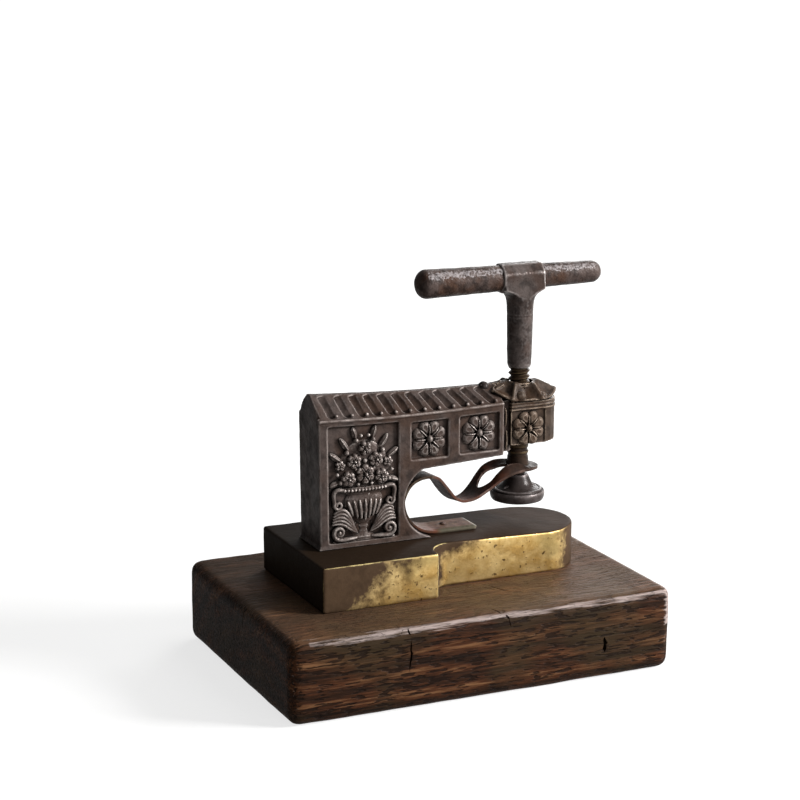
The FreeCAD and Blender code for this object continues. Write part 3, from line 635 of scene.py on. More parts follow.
threadSteel = makeOldMetal("oiledThreadSteel", {**castIronLook, "dark": "#0c0705", "body": "#2e221a",
                                                "rust": "#251a13", "raised": "#86714f", "patch": 6,
                                                "reach": 1.8, "edge": (0.53, 0.62), "metal": (0.12, 0.45),
                                                "rough": (0.26, 0.42), "relief": 0.15})
darkSteel = makeOldMetal("blackedSteel", {**castIronLook, "body": "#3a3331", "raised": "#857b75", "patch": 5,
                                          "metal": (0.6, 0.9), "relief": 0.12})
nutBronze = makeOldMetal("turnedBronze", {**castIronLook, "dark": "#2a1c0f", "body": "#80582e",
                                          "rust": "#5f4223", "raised": "#c29a5c", "patch": 6,
                                          "metal": (0.85, 1.0), "relief": 0.1})
dieBrass = makeOldMetal("engravedBrass", {**castIronLook, "dark": "#3a2a14", "body": "#a98444",
                                          "rust": "#8a6a36", "raised": "#d6b878", "patch": 6,
                                          "metal": (0.9, 1.0), "relief": 0.08})
oakWood = makeOak()
agedBrass = makeAgedBrass()
print("finishes are made")


# oak block

oakBlock = {"cornerRadius": 7, "topRadius": 3.4, "bottomRadius": 1.2, "voxel": 1.5, "unevenness": 1.0,
            "unevenGrain": 34, "bolts": [(62, -15.5), (62, 24.5), (-68, -31.5), (-68, 40.5)],
            "counterbore": (10, 16), "rubReach": 6.8, "boltHole": 4, "spread": (1.9, 1.2, 2.6),
            "cupped": {"rightFrom": 105, "rightOver": 24, "rightUp": 1.8, "backFrom": 58, "backOver": 31.5,
                       "backUp": 1.0},
            # the rubbed edges, worn and with a painted highlight, are fainter below the first height and
            # beyond the second place in x
            "rubAndSheenFrom": (30, -118), "rubAndSheenLess": 0.35,
            # points, width, depth and direction of each crack or mark
            "cracks": [([(12.2, -89.5, 53.6), (14.6, -89.5, 49.4)], 1.5, 5.0, (0.25, 1, -0.9)),
                       ([(10.4, -87.5, 53.6), (7.2, -77.5, 53.4)], 0.8, 1.6, (0, 0, 1)),
                       ([(14.0, -89.5, 50.5), (15.5, -89.5, 43.5)], 0.45, 1.5, (0, 1, 0)),
                       ([(-53.6, -89.5, 54), (-52.2, -89.5, 48.2)], 1.3, 3.5, (0, 1, -0.8)),
                       ([(-58.2, -89.5, 53.6), (-58.0, -89.5, 50.0)], 0.9, 2.2, (0, 1, -0.8)),
                       ([(-52.4, -89.5, 45.4), (-52.0, -89.5, 36), (-52.9, -89.5, 24.4)], 1.2, 4.0,
                        (0, 1, 0)),
                       ([(81.8, -89.5, 28.0), (82.6, -89.5, 22.5), (82.0, -89.5, 17.5)], 2.4, 4.5,
                        (0.1, 1, 0)),
                       ([(90.0, -89.5, 24.6), (104, -89.5, 25.6), (118, -89.5, 28.2), (130.5, -89.5, 29)],
                        0.6, 2.5, (0, 1, 0)),
                       ([(129, -88, 29), (129.2, -70, 28.4), (129.2, -40, 29.5)], 0.6, 2.5, (1, 0, 0)),
                       ([(26.5, -34.5, 53), (29.5, -44, 53), (34.5, -53.5, 53)], 0.9, 2.0, (0, 0, 1)),
                       ([(22, -36, 53), (28, -47, 53)], 0.5, 1.4, (0, 0, 1)),
                       ([(-129, -11, 53), (-129, -9.5, 46), (-129, -7, 38)], 0.9, 3.0, (1, 0, -0.2)),
                       ([(-129, 38, 50), (-129, 41, 27)], 0.5, 2.0, (1, 0, 0)),
                       ([(-100, 89.5, 33), (-62, 89.5, 35), (-20, 89.5, 33.5)], 0.6, 2.5, (0, 1, 0)),
                       ([(58, 89.5, 14), (96, 89.5, 16)], 0.5, 2.0, (0, 1, 0)),
                       ([(112, -12, 53), (129, -16, 52)], 0.6, 2.0, (0, 0, 1))]}


def addCrack(name, points, width, depth, facing, chance, pieces=4):
    # cutter for a crack: a strip along the points, widest in its middle, ragged, all in mm
    facing = Vector(facing).normalized()
    line = []
    for start, end in zip(points, points[1:]):
        line += [Vector(start).lerp(Vector(end), k / pieces) for k in range(pieces)]
    line.append(Vector(points[-1]))
    across = (line[-1] - line[0]).cross(facing).normalized()
    last = len(line) - 1
    one, other = [line[0]], []
    for k in range(1, last):
        half = width / 2 * math.sin(math.pi * k / last) ** 0.5 * chance.uniform(0.75, 1.25)
        middle = line[k] + across * chance.uniform(-0.3, 0.3) * width
        one.append(middle + across * half)
        other.append(middle - across * half)
    outline = [(place - facing * depth) * mm for place in one + [line[-1]] + other[::-1]]
    return addSlab(name, outline, facing * 2 * depth * mm)


def makeOakBlock():
    low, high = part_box("oak_block")
    block = addBox("oakBlock", low, high)
    values = oakBlock
    bevelEdges(block, lambda middle, way: abs(way.z) > 0.9, values["cornerRadius"] * mm, 6)
    bevelEdges(block, lambda middle, way: middle.z > 0.05, values["topRadius"] * mm, 4)
    bevelEdges(block, lambda middle, way: middle.z < 0.001, values["bottomRadius"] * mm, 4)
    radius, depth = values["counterbore"]
    for x, y in values["bolts"]:
        for name, wide, deep in (("counterbore", radius, depth), ("boltHole", values["boltHole"], 60)):
            combine(block, addRod(name, wide * mm, inMm(x, y, -1), inMm(x, y, deep)))
    remeshed(block, values["voxel"] * mm, 2)
    roughened(block, values["unevenness"] * mm, values["unevenGrain"] * mm, 3)
    # the block is cupped a little: its ends and its back reach further out, and their top stands higher
    rightOut, leftOut, backOut = values["spread"]
    cupped = values["cupped"]
    for vertex in block.data.vertices:
        share = vertex.co.z / high[2]
        rise = max(0.0, (vertex.co.x / mm - cupped["rightFrom"]) / cupped["rightOver"]) * cupped["rightUp"]
        rise += max(0.0, (vertex.co.y / mm - cupped["backFrom"]) / cupped["backOver"]) * cupped["backUp"]
        vertex.co.z = max(vertex.co.z + rise * share * mm, 0.0)
        toRight, toLeft = max(0.0, vertex.co.x / high[0]), max(0.0, vertex.co.x / low[0])
        vertex.co.x += (toRight ** 2 * rightOut - toLeft ** 2 * leftOut) * mm
        vertex.co.y += max(0.0, vertex.co.y / high[1]) ** 2 * backOut * mm
    chance = random.Random(11)
    for points, width, depth, facing in values["cracks"]:
        combine(block, addCrack("crack", points, width, depth, facing, chance))
    # the edge wear and its painted highlight are fainter low down and towards the left end
    lowZ, leftX = inMm(*values["rubAndSheenFrom"])

    def rub(place):
        # how near a point is to the block's nearest edge
        away = sorted((high[0] - abs(place.x), high[1] - abs(place.y), high[2] - place.z))
        near = max(0.0, 1 - max(away[1], 0) / (values["rubReach"] * mm))
        return near * (1.0 if place.z > lowZ and place.x > leftX else values["rubAndSheenLess"])

    paintPoints(block, "rub", rub)
    shadeSmooth(block, 50)
    return finishPiece(block, oakWood, "root", "oak", "oak_block")


makeOakBlock()
print("oak block is ready")


# brass bed

bed = {"left": -91.4, "step": -13.0, "noseX": 74.5, "midY": 4.5, "wideHalf": 50.7, "narrowHalf": 30.25,
       "bottom": 53.0, "top": 82.0, "innerRadius": 17, "cornerRadius": 1.0, "edge": 0.9, "voxel": 0.95,
       "unevenness": 0.35, "unevenGrain": 15, "rubReach": 0.8, "wear": 1.6, "wearPower": 1.3,
       "frontWear": 1.3, "frontWearWidth": 0.12}


def makeBrassBase():
    values = bed
    low, high, y = values["bottom"] * mm, values["top"] * mm, values["midY"] * mm
    left, stepX, nose = values["left"] * mm, values["step"] * mm, values["noseX"] * mm
    wide, narrow, inner = values["wideHalf"] * mm, values["narrowHalf"] * mm, values["innerRadius"] * mm
    # half of the plan, from the wide corner round the inner fillet to the nose; then mirrored
    half = [(left, wide), (stepX, wide)]
    for step in range(13):
        angle = math.pi - math.pi / 2 * step / 12
        half.append((stepX + inner + inner * math.cos(angle), narrow + inner - inner * math.sin(angle)))
    for step in range(33):
        angle = math.pi / 2 * (1 - step / 32)
        half.append((nose + narrow * math.cos(angle), narrow * math.sin(angle)))
    outline = half + [(x, -across) for x, across in reversed(half[:-1])]
    base = addSlab("brassBase", [(x, y + across, low) for x, across in outline], (0, 0, high - low))
    bevelEdges(base, lambda middle, way: abs(way.z) > 0.9 and abs(middle.y - y) > wide - 0.0001,
               values["cornerRadius"] * mm, 4)
    bevelEdges(base, lambda middle, way: middle.z > high - 0.0001, values["edge"] * mm, 2, 30)
    remeshed(base, values["voxel"] * mm, 1)
    # the tongue is worn lower towards its nose, most of all along its near edge
    for vertex in base.data.vertices:
        ahead = (vertex.co.x - stepX) / (nose + narrow - stepX)
        if ahead > 0:
            height = (vertex.co.z - low) / (high - low)
            reach = values["frontWearWidth"] * (nose + narrow - stepX)
            edge = max(0.0, 1 - (vertex.co.y - (y - narrow)) / reach)
            worn = values["wear"] * ahead ** values["wearPower"] + values["frontWear"] * edge ** 2 * ahead
            vertex.co.z -= worn * height * mm
    roughened(base, values["unevenness"] * mm, values["unevenGrain"] * mm, 2)

    def rub(place):
        # how near a point is to an edge that hands rub bright: all round the top, and the upright corners
        across = abs(place.y - y)
        if place.x > nose:
            away = abs(math.hypot(place.x - nose, across) - narrow)
        elif place.x > stepX + inner:
            away = abs(across - narrow)
        elif place.x > stepX + 0.0005:
            away = abs(math.hypot(stepX + inner - place.x, narrow + inner - across) - inner)
        else:
            away = min(place.x - left + 0.0008, wide - across,
                       stepX - place.x if across > narrow + inner else wide)
        edge = math.hypot(away, high - place.z)
        for cornerX in (left, stepX):
            edge = min(edge, math.hypot(place.x - cornerX, wide - across) * 1.15)
        return max(0.0, min(1.0, 1.75 - edge / (values["rubReach"] * mm)))

    paintPoints(base, "rub", rub)
    shadeSmooth(base, 60)
    return finishPiece(base, agedBrass, "root", "brass", "brass_base")


makeBrassBase()
print("brass bed is ready")


# cast-iron frame: post, arm, gabled roof, sunk panels

pressFrame = {"left": -78.2, "armEnd": 49.0, "midY": 4.5, "half": 16.25, "bottom": 82.0, "eave": 164.5,
              "ridgeLeft": 179.0, "ridgeRight": 174.8, "ridgeHalf": 2.2, "under": 130.6, "toe": -3.5,
              "edge": 0.7, "underStart": (-7.8, 127.4), "throat": (3.0, 106.0, 24.0), "panelDepth": 2.5,
              "panelSlant": 0.7,
              "panels": [(-72.4, -25.0, 85.5, 161.0), (-16.6, 9.6, 134.1, 159.6), (17.3, 46.0, 134.5, 159.8)],
              "eaveLip": 1.0, "eaveLipIn": 0.35, "footSpread": (1.3, 1.1, 3.2), "footDraw": (0.962, 0.93),
              "waist": ((46, -5, 131), (57, 14)), "voxel": 0.62, "unevenness": 0.35, "unevenGrain": 7,
              # the roof sags between two ends: from this height up, over this much height, by this depth
              "sagFrom": 150, "sagOver": 14, "sag": 1.0, "sagMiddle": -15, "sagLeft": (1.5, 63),
              "sagRight": (1.3, 64),
              # the post's end leans out, and the gable's slopes are slightly round
              "leanFrom": -60, "leanOver": 15, "lean": (0.5, 1.1), "leanHeight": 83,
              "gableRound": 1.8, "gableFrom": -40, "gableOver": 35}

flute = {"first": -68.5, "pitch": 10.02, "count": 12, "lowY": 12.3, "highY": 3.0, "lean": 2.4,
         "leanGrowth": 0.34, "radius": 7.6, "width": 6.2, "depth": 1.9, "beadShift": (2.2, -1.6),
         "beadRise": 0.35, "beadRadius": 1.25}


def roofHeight(x, y):
    # z of the roof's slope at x, y, all in mm
    values = pressFrame
    share = (x - values["left"]) / (values["armEnd"] - values["left"])
    ridge = values["ridgeLeft"] + share * (values["ridgeRight"] - values["ridgeLeft"])
    down = (abs(y - values["midY"]) - values["ridgeHalf"]) / (values["half"] - values["ridgeHalf"])
    return ridge + max(down, 0) * (values["eave"] - ridge)


def addFluteCutters(side):
    # scooped grooves: steep on the left, easing out to the right, round at their lower end
    values, midY = flute, pressFrame["midY"]
    half = values["width"] / 2
    cutters = []
    for k in range(-1, values["count"]):
        x = values["first"] + k * values["pitch"]
        y = midY + side * values["lowY"]
        low = Vector((x, y, roofHeight(x, y)))
        x, y = x - values["lean"] - values["leanGrowth"] * max(k, 0), midY + side * values["highY"]
        high = Vector((x, y, roofHeight(x, y)))
        along = (low - high).normalized()
        across = (Vector((1, 0, 0)) - along * along.x).normalized()
        outward = along.cross(across) * -side
        length = (low - high).length
        centre = high + outward * (values["radius"] - values["depth"]) - across * half
        ends = (centre - along * 4) * mm, (centre + along * (length + 6)) * mm
        rod = addRod("scoop", values["radius"] * mm, *ends, 64)
        outline = [high + across * half, high - across * half]
        for step in range(13):
            angle = math.pi * step / 12
            outline.append(low - across * half * math.cos(angle) + along * half * math.sin(angle))
        outline = [(place - outward * 5) * mm for place in outline]
        combine(rod, addSlab("groovePlan", outline, outward * 10 * mm), 'INTERSECT')
        cutters.append(rod)
    return cutters


def makeFrameBody():
    values = pressFrame
    left, right = values["left"] * mm, values["armEnd"] * mm
    near, far = (values["midY"] - values["half"]) * mm, (values["midY"] + values["half"]) * mm
    bottom, eave = values["bottom"] * mm, values["eave"] * mm
    throatX, throatZ, throatRadius = inMm(*values["throat"])
    body = addBox("frameBody", (left, near, bottom), (right, far, eave))
    # the opening: under the foot's toe, round the throat, then straight along under the arm
    startX, startZ = inMm(*values["underStart"])
    slope = (values["under"] * mm - startZ) / (right - startX)
    opening = [(values["toe"] * mm, bottom - 0.001), (right + 0.01, bottom - 0.001),
               (right + 0.01, values["under"] * mm + slope * 0.01)]
    first = math.atan2(startZ - throatZ, startX - throatX)
    last = 2 * math.pi - math.acos((values["toe"] * mm - throatX) / throatRadius)
    for step in range(65):
        angle = first + (last - first) * step / 64
        opening.append((throatX + throatRadius * math.cos(angle), throatZ + throatRadius * math.sin(angle)))
    combine(body, addSlab("opening", [(x, near - 0.01, z) for x, z in opening], (0, far - near + 0.02, 0)))
    bevelEdges(body, lambda middle, way: bottom + 0.001 < middle.z < eave - 0.001, values["edge"] * mm, 2,
               40)
    # gabled roof: a box drawn in to the ridge, which falls slowly to the arm's end
    roof = addBox("roof", (left, near, eave - 0.0002), (right, far, values["ridgeLeft"] * mm))
    resizeFaces(roof, lambda middle, normal: normal.z > 0.9, (1, values["ridgeHalf"] / values["half"], 1),
                inMm(0, values["midY"], values["ridgeLeft"]))
    pick(roof, lambda middle, way: middle.x > right - 0.0001 and middle.z > eave + 0.002
         and abs(way.y) > 0.9, 'EDGE')
    bpy.ops.transform.translate(value=(0, 0, (values["ridgeRight"] - values["ridgeLeft"]) * mm))
    bpy.ops.object.mode_set(mode='OBJECT')
    parts = [body, roof]
    for side in (-1, 1):
        for cutter in addFluteCutters(side):
            combine(roof, cutter)
        # beads at the grooves' lower ends and the lip along the eave
        for k in range(flute["count"]):
            x = flute["first"] + k * flute["pitch"] + flute["beadShift"][0]
            y = values["midY"] + side * (flute["lowY"] - flute["beadShift"][1])
            z = roofHeight(x, y) + flute["beadRise"]
            parts.append(addBall("eaveBead", inMm(x, y, z), inMm(*[flute["beadRadius"]] * 3), 12, 8))
        y = (values["midY"] + side * (values["half"] - values["eaveLipIn"])) * mm
        parts.append(addRod("eaveLip", values["eaveLip"] * mm, (left + 0.0006, y, eave),
                            (right - 0.0003, y, eave), 16))
    # sunk panels with slanted walls
    for panelLeft, panelRight, low, high in values["panels"]:
        for side in (-1, 1):
            face = (values["midY"] + side * values["half"]) * mm
            depth, slant = values["panelDepth"] * mm, values["panelSlant"]
            inner, outer = sorted((face - side * depth, face + side * 0.001))
            panel = addBox("panel", (panelLeft * mm, inner, low * mm), (panelRight * mm, outer, high * mm))
            factors = 1 - 2 * slant / (panelRight - panelLeft), 1, 1 - 2 * slant / (high - low)
            centre = (panelLeft + panelRight) / 2 * mm, face, (low + high) / 2 * mm
            resizeFaces(panel, lambda middle, normal: normal.y * -side > 0.9, factors, centre)
            combine(body, panel)
    # small spread at the foot of the post
    outX, outY, up = inMm(*values["footSpread"])
    toe = values["toe"] * mm
    foot = addBox("footSpread", (left - outX, near - outY, bottom), (toe + 0.001, far + outY, bottom + up))
    resizeFaces(foot, lambda middle, normal: normal.z > 0.9, (*values["footDraw"], 1),
                ((left + toe) / 2, values["midY"] * mm, bottom))
    combine(foot, addRod("throat", throatRadius, (throatX, near - 0.01, throatZ),
                         (throatX, far + 0.01, throatZ), 96))
    parts.append(foot)
    # waist between the arm and the head
    waistLow, waistHigh = values["waist"]
    parts.append(addBox("waist", inMm(*waistLow), (*inMm(*waistHigh), eave)))
    body = joinAll("frameBody", parts)
    remeshed(body, values["voxel"] * mm, 2)
    for vertex in body.data.vertices:
        x, z = vertex.co.x / mm, vertex.co.z / mm
        if z > values["sagFrom"]:
            rise, spread = values["sagLeft"] if x < values["sagMiddle"] else values["sagRight"]
            lift = rise * ((x - values["sagMiddle"]) / spread) ** 2 - values["sag"]
            vertex.co.z += lift * min((z - values["sagFrom"]) / values["sagOver"], 1.0) * mm
        if x < values["leanFrom"]:
            out = values["lean"][0] + values["lean"][1] * (z - values["bottom"]) / values["leanHeight"]
            vertex.co.x -= out * min((values["leanFrom"] - x) / values["leanOver"], 1.0) * mm
        if z > values["eave"]:
            height = min((z - values["eave"]) / (values["ridgeLeft"] - values["eave"]), 1.0)
            share = max(0.0, min((values["gableFrom"] - x) / values["gableOver"], 1.0))
            bulge = values["gableRound"] * math.sin(math.pi * height) * share
            vertex.co.y += math.copysign(bulge, vertex.co.y - values["midY"] * mm) * mm
    roughened(body, values["unevenness"] * mm, values["unevenGrain"] * mm, 2)
    shadeSmooth(body, 60)
    return finishPiece(body, castIron, "root", "cast_iron", "press_frame")


makeFrameBody()
print("frame body is ready")


# frame's head, round the nut

head = {"axisX": 67.6, "midY": 4.5, "bottom": 135.2, "collar": 158.4, "top": 164.5, "voxel": 0.45,
        "unevenness": 0.35, "unevenGrain": 4,
        "nutRadius": 9.6, "flangeRadius": 11.2, "flangeHeight": 4.5, "recess": 1.0,
        "panel": (-11.0, 13.0, 135.9, 158.6), "frontHalf": 12.5, "noseLow": (13.8, 24.9, 5.0),
        "noseRound": 3.4, "sideEdge": 0.6,
        # low, high and how far each step of the moulding under the cap is drawn in
        "moulding": [(158.0, 159.3, -0.5), (159.1, 160.4, 0.4), (160.2, 161.4, -0.3), (161.2, 162.4, 0.5),
                     (162.2, 163.6, -0.2), (163.4, 165.2, 1.4)], "mouldingEdge": 0.4,
        # the hollow waist: x from and to, half width and bottom; then low, high and x of each bead
        "cheek": (48.0, 58.5, 7.0, 131.2), "beads": [(147.2, 160.4, 53.2), (131.6, 146.0, 53.9)],
        "beadSize": (0.9, 2.2), "beadOut": 9.0,
        "plan": [(13.6, -12.5), (17.8, -11.4), (21.2, -8.9), (23.8, -5.2), (24.9, -1.6), (24.9, 1.6),
                 (23.8, 5.2), (21.2, 8.9), (17.8, 11.4), (13.6, 12.5), (-11.3, 12.5), (-12.6, 7.0),
                 (-20.9, 7.0), (-20.9, -7.0), (-12.6, -7.0), (-11.3, -12.5)]}


def headPlan(shrink=0.0):
    # outline of the head about its axis, in mm, drawn in by "shrink" all round
    return [(x * (1 - shrink / 18), y * (1 - shrink / 12.5)) for x, y in head["plan"]]


def headSlab(name, low, high, shrink=0.0):
    outline = [Vector((head["axisX"] + x, head["midY"] + y, low)) * mm for x, y in headPlan(shrink)]
    return addSlab(name, outline, (0, 0, (high - low) * mm))


def makeFrameHead():
    values = head
    x, y = values["axisX"] * mm, values["midY"] * mm
    body = headSlab("frameHead", values["bottom"], values["collar"])
    bevelEdges(body, lambda middle, way: abs(way.z) > 0.9 and abs(middle.x - x) < 0.015,
               values["sideEdge"] * mm, 2)
    # the nose's underside rises
    slantX, noseX, rise = inMm(*values["noseLow"])
    low = values["bottom"] * mm
    pick(body, lambda middle, normal: normal.z < -0.9)
    bpy.ops.mesh.bisect(plane_co=(x + slantX, y, low), plane_no=(1, 0, 0))
    bpy.ops.object.mode_set(mode='OBJECT')
    slope = rise / (noseX - slantX)
    for vertex in body.data.vertices:
        if vertex.co.z < low + 0.0001 and vertex.co.x > x + slantX:
            vertex.co.z += slope * (vertex.co.x - x - slantX)
    bevelEdges(body, lambda middle, way: middle.z < low + rise + 0.0001 and middle.x > x + slantX,
               values["noseRound"] * mm, 5)
    # sunk front and back facets that carry the rosettes
    left, right, panelLow, panelHigh = values["panel"]
    for side in (-1, 1):
        face = values["midY"] + side * values["frontHalf"]
        near, far = sorted((face - side * values["recess"], face + side))
        combine(body, addBox("facetPanel", inMm(values["axisX"] + left, near, panelLow),
                             inMm(values["axisX"] + right, far, panelHigh)))
    parts = [body]
    for low, high, shrink in values["moulding"]:
        step = headSlab("moulding", low, high, shrink)
        bevelEdges(step, lambda middle, way: abs(way.z) < 0.5, values["mouldingEdge"] * mm, 2)
        parts.append(step)
    # hollow where the arm meets the head, with two upright beads in it
    cheekLeft, cheekRight, cheekHalf, cheekLow = inMm(*values["cheek"])
    for side in (-1, 1):
        near, far = sorted((y + side * cheekHalf, y))
        parts.append(addBox("waistCheek", (cheekLeft, near, cheekLow),
                            (cheekRight, far, values["top"] * mm)))
        for low, high, beadX in values["beads"]:
            middle = inMm(beadX, values["midY"] + side * values["beadOut"], (low + high) / 2)
            parts.append(addBall("waistBead", middle, inMm(*values["beadSize"], (high - low) / 2), 16, 12))
    body = joinAll("frameHead", parts)
    remeshed(body, values["voxel"] * mm, 2)
    combine(body, addRod("nutBore", values["nutRadius"] * mm, (x, y, 0.125), (x, y, 0.190), 64))
    combine(body, addRod("flangeSeat", values["flangeRadius"] * mm, (x, y, 0.125),
                         (x, y, (values["bottom"] + values["flangeHeight"]) * mm), 64))
    roughened(body, values["unevenness"] * mm, values["unevenGrain"] * mm, 3)
    shadeSmooth(body, 60)
    return finishPiece(body, headIron, "root", "cast_iron", "press_frame")


makeFrameHead()


# leaf ring, on top of the head

leafCap = {"hole": 8.6, "nutTop": 168.0, "rimZ": 174.4, "voxel": 0.38, "around": 240, "out": 36,
           "under": 163.0, "unevenness": 0.4, "unevenGrain": 4.5, "radian": 57.3,
           # how much the rim rises towards the arm, and over how many degrees
           "rimRise": 1.6, "rimReach": 50,
           # place and width of the raised lip and of the rim's bead, from 0 at the hole to 1 at the lip
           "lipAt": (0.94, 0.075), "beadAt": (0.04, 0.05), "beadRise": 0.5,
           # angle, reach and height of the leaves' lip, from the arm's ridge round the near side to the nose
           "lip": [(-180, 14.0, 175.9), (-174, 15.0, 175.6), (-169, 19.4, 174.3), (-165, 23.0, 172.9),
                   (-160, 24.8, 171.6), (-155, 24.5, 170.3), (-150, 23.4, 169.1), (-145, 21.8, 168.0),
                   (-138, 19.4, 166.3), (-131, 17.4, 164.7), (-122, 15.4, 164.2), (-105, 13.7, 164.0),
                   (-90, 13.3, 164.0), (-75, 13.8, 163.9), (-61, 15.2, 163.8), (-50, 17.5, 163.7),
                   (-42, 19.5, 164.1), (-34, 21.3, 164.7), (-22, 23.0, 166.3), (-10, 24.4, 167.2),
                   (0, 24.7, 167.4)],
           # middle, half width and depth of each leaf's hollow; then place, height and width of each rib
           "leaves": [(150, 17, 2.2), (92, 30, 2.2), (30, 19, 1.5)],
           "ribs": [(128, 2.6, 1.8), (55, 1.9, 1.7), (11, 1.8, 3.4)], "lipRise": 1.9, "thickness": 2.2,
           # the solid middle: its foot's height and how far it is drawn in, then two more steps
           "middle": (1.6, 1.4), "steps": [(2.4, 0.84, 0.80), (2.6, 0.72, 0.92)],
           # about the axis: place and size of the leaves' rolled ends; ends and radii of the raised folds
           "curls": [((-5.0, 12.0, 167.4), (3.9, 2.9, 3.4)), ((11.0, 11.6, 166.4), (2.8, 2.2, 2.4)),
                     ((-22.6, 8.4, 171.8), (1.8, 1.4, 1.1))],
           "folds": [((-22.6, 7.4, 171.6), (-13.6, 4.9, 174.2), (1.0, 0.64)),
                     ((-10.9, 13.0, 164.2), (-7.9, 9.2, 172.6), (1.125, 0.72))],
           # the arm's ridge runs on: x from and to, half width, bottom and top
           "ridgeEnds": [(47, 58, 2.3, 166, 175.4), (48, 59, 5.2, 166, 173.8)],
           "noseLobe": {"place": (20.2, 0, 168.2), "size": (4.6, 6.4, 2.6), "tilt": 24}}


def lipAt(angle):
    # reach and height of the lip at an angle in degrees; near and far side are alike
    turn = -abs((angle + 180) % 360 - 180)
    line = leafCap["lip"]
    for (a, reachA, highA), (b, reachB, highB) in zip(line, line[1:]):
        if a <= turn <= b:
            share = (turn - a) / (b - a)
            return reachA + share * (reachB - reachA), highA + share * (highB - highA)


def bump(distance, width):
    return math.exp(-(distance / width) ** 2)


def capPoint(angle, share):
    # reach and z of the cap at an angle, from the hole's rim (share 0) to the lip (share 1), in mm
    values = leafCap
    inner = values["hole"] - 0.3
    reach, lipHigh = lipAt(angle)
    turn = abs((angle + 180) % 360 - 180)
    rim = values["rimZ"] + values["rimRise"] * bump(180 - turn, values["rimReach"])
    spread, fall = reach - inner, (lipHigh - rim) * share ** 1.5
    slope = (lipHigh - rim) * 1.5 * share ** 0.5
    length = math.hypot(spread, slope)
    rise, edge = 0.0, 0.0
    for middle, half, depth in values["leaves"]:
        hollow = max(0.0, 1 - ((turn - middle) / half) ** 2)
        rise -= depth * hollow * math.sin(math.pi * min(max(share * 1.12 - 0.08, 0.0), 1.0)) ** 1.2
        edge = max(edge, hollow)
    place, width = values["lipAt"]
    rise += values["lipRise"] * (0.35 + 0.65 * edge) * bump(share - place, width)
    for place, high, wide in values["ribs"]:
        away = (place - turn) * (inner + spread * share) / values["radian"]
        rise += high * bump(away, wide) * min(share * 4, 1.0)
    place, width = values["beadAt"]
    rise += values["beadRise"] * bump(share - place, width)
    return inner + spread * share - rise * slope / length, rim + fall + rise * spread / length


def makeLeafCap():
    values = leafCap
    x, y = head["axisX"], head["midY"]
    # a grid, bent round the axis
    deselectAll()
    bpy.ops.mesh.primitive_grid_add(x_subdivisions=values["around"], y_subdivisions=values["out"], size=1)
    cap = settle(bpy.context.object, "leafCap")
    for vertex in cap.data.vertices:
        angle, share = (vertex.co.x + 0.5) * 360 - 180, vertex.co.y + 0.5
        reach, z = capPoint(angle, share)
        turn = math.radians(angle)
        vertex.co = inMm(x + reach * math.cos(turn), y + reach * math.sin(turn), z)
    activate(cap)
    bpy.ops.object.mode_set(mode='EDIT')
    bpy.ops.mesh.select_all(action='SELECT')
    bpy.ops.mesh.remove_doubles(threshold=0.00001)
    bpy.ops.object.mode_set(mode='OBJECT')
    faceOutwards(cap)
    downwards = -1 if cap.data.polygons[0].normal.z > 0 else 1
    addModifier(cap, 'SOLIDIFY', thickness=values["thickness"] * mm, offset=downwards)
    parts = [cap]
    footRise, footShrink = values["middle"]
    low = headSlab("capBase", values["under"], values["under"] + footRise, footShrink)
    pick(low, lambda middle, normal: normal.z > 0.9)
    for rise, drawX, drawY in values["steps"]:
        bpy.ops.mesh.extrude_region_move(TRANSFORM_OT_translate={"value": inMm(0, 0, rise)})
        bpy.ops.transform.resize(value=(drawX, drawY, 1), center_override=inMm(x, y, 0))
    bpy.ops.object.mode_set(mode='OBJECT')
    parts.append(low)
    for side in (-1, 1):
        for place, size in values["curls"]:
            middle = inMm(x + place[0], y + side * place[1], place[2])
            parts.append(addBall("leafCurl", middle, inMm(*size), 24, 16))
        for start, end, radii in values["folds"]:
            start, end = (inMm(x + place[0], y + side * place[1], place[2]) for place in (start, end))
            parts.append(addRod("leafRib", radii[0] * mm, start, end, 20, radii[1] * mm))
    for left, right, half, under, top in values["ridgeEnds"]:
        parts.append(addBox("ridgeEnd", inMm(left, y - half, under), inMm(right, y + half, top)))
    lobe = values["noseLobe"]
    parts.append(addBall("noseLobe", inMm(x + lobe["place"][0], y + lobe["place"][1], lobe["place"][2]),
                         inMm(*lobe["size"]), 24, 16, (0, math.radians(lobe["tilt"]), 0)))
    cap = joinAll("leafCap", parts)
    remeshed(cap, values["voxel"] * mm, 5)
    for radius, top in ((values["hole"], 190), (head["nutRadius"], values["nutTop"])):
        combine(cap, addRod("capHole", radius * mm, inMm(x, y, 160), inMm(x, y, top), 64))
    roughened(cap, values["unevenness"] * mm, values["unevenGrain"] * mm, 1)
    shadeSmooth(cap, 60)
    return finishPiece(cap, headIron, "root", "cast_iron", "leaf_cap")


makeLeafCap()
print("head and leaf ring are ready")


# relief work in the sunk panels; petal, dish, sepal and heart are a place and a size in a full-size flower

rosette = {"radius": 12.4, "petals": 8, "voxel": 0.3, "lift": 0.1, "unevenness": 0.22,
           "unevenGrain": (2.5, 0.2), "petalWidth": 3.95, "fewPetalWidth": 4.8,
           "petal": ((7.4, 0.3, 0), (5.0, 1.9)), "dish": ((8.4, -2.15, 0), (4.2, 0.9)), "dishRim": 0.6,
           "taper": (9.0, 0.3, 1.12), "sepal": ((5.8, -0.8, 0.28), (3.6, 1.25, 0.5)),
           "heart": ((0, -0.7, 0), (2.2, 2.0, 2.5)), "headPlace": (0.9, 146.0), "headOut": 0.5,
           "headShare": 0.95}


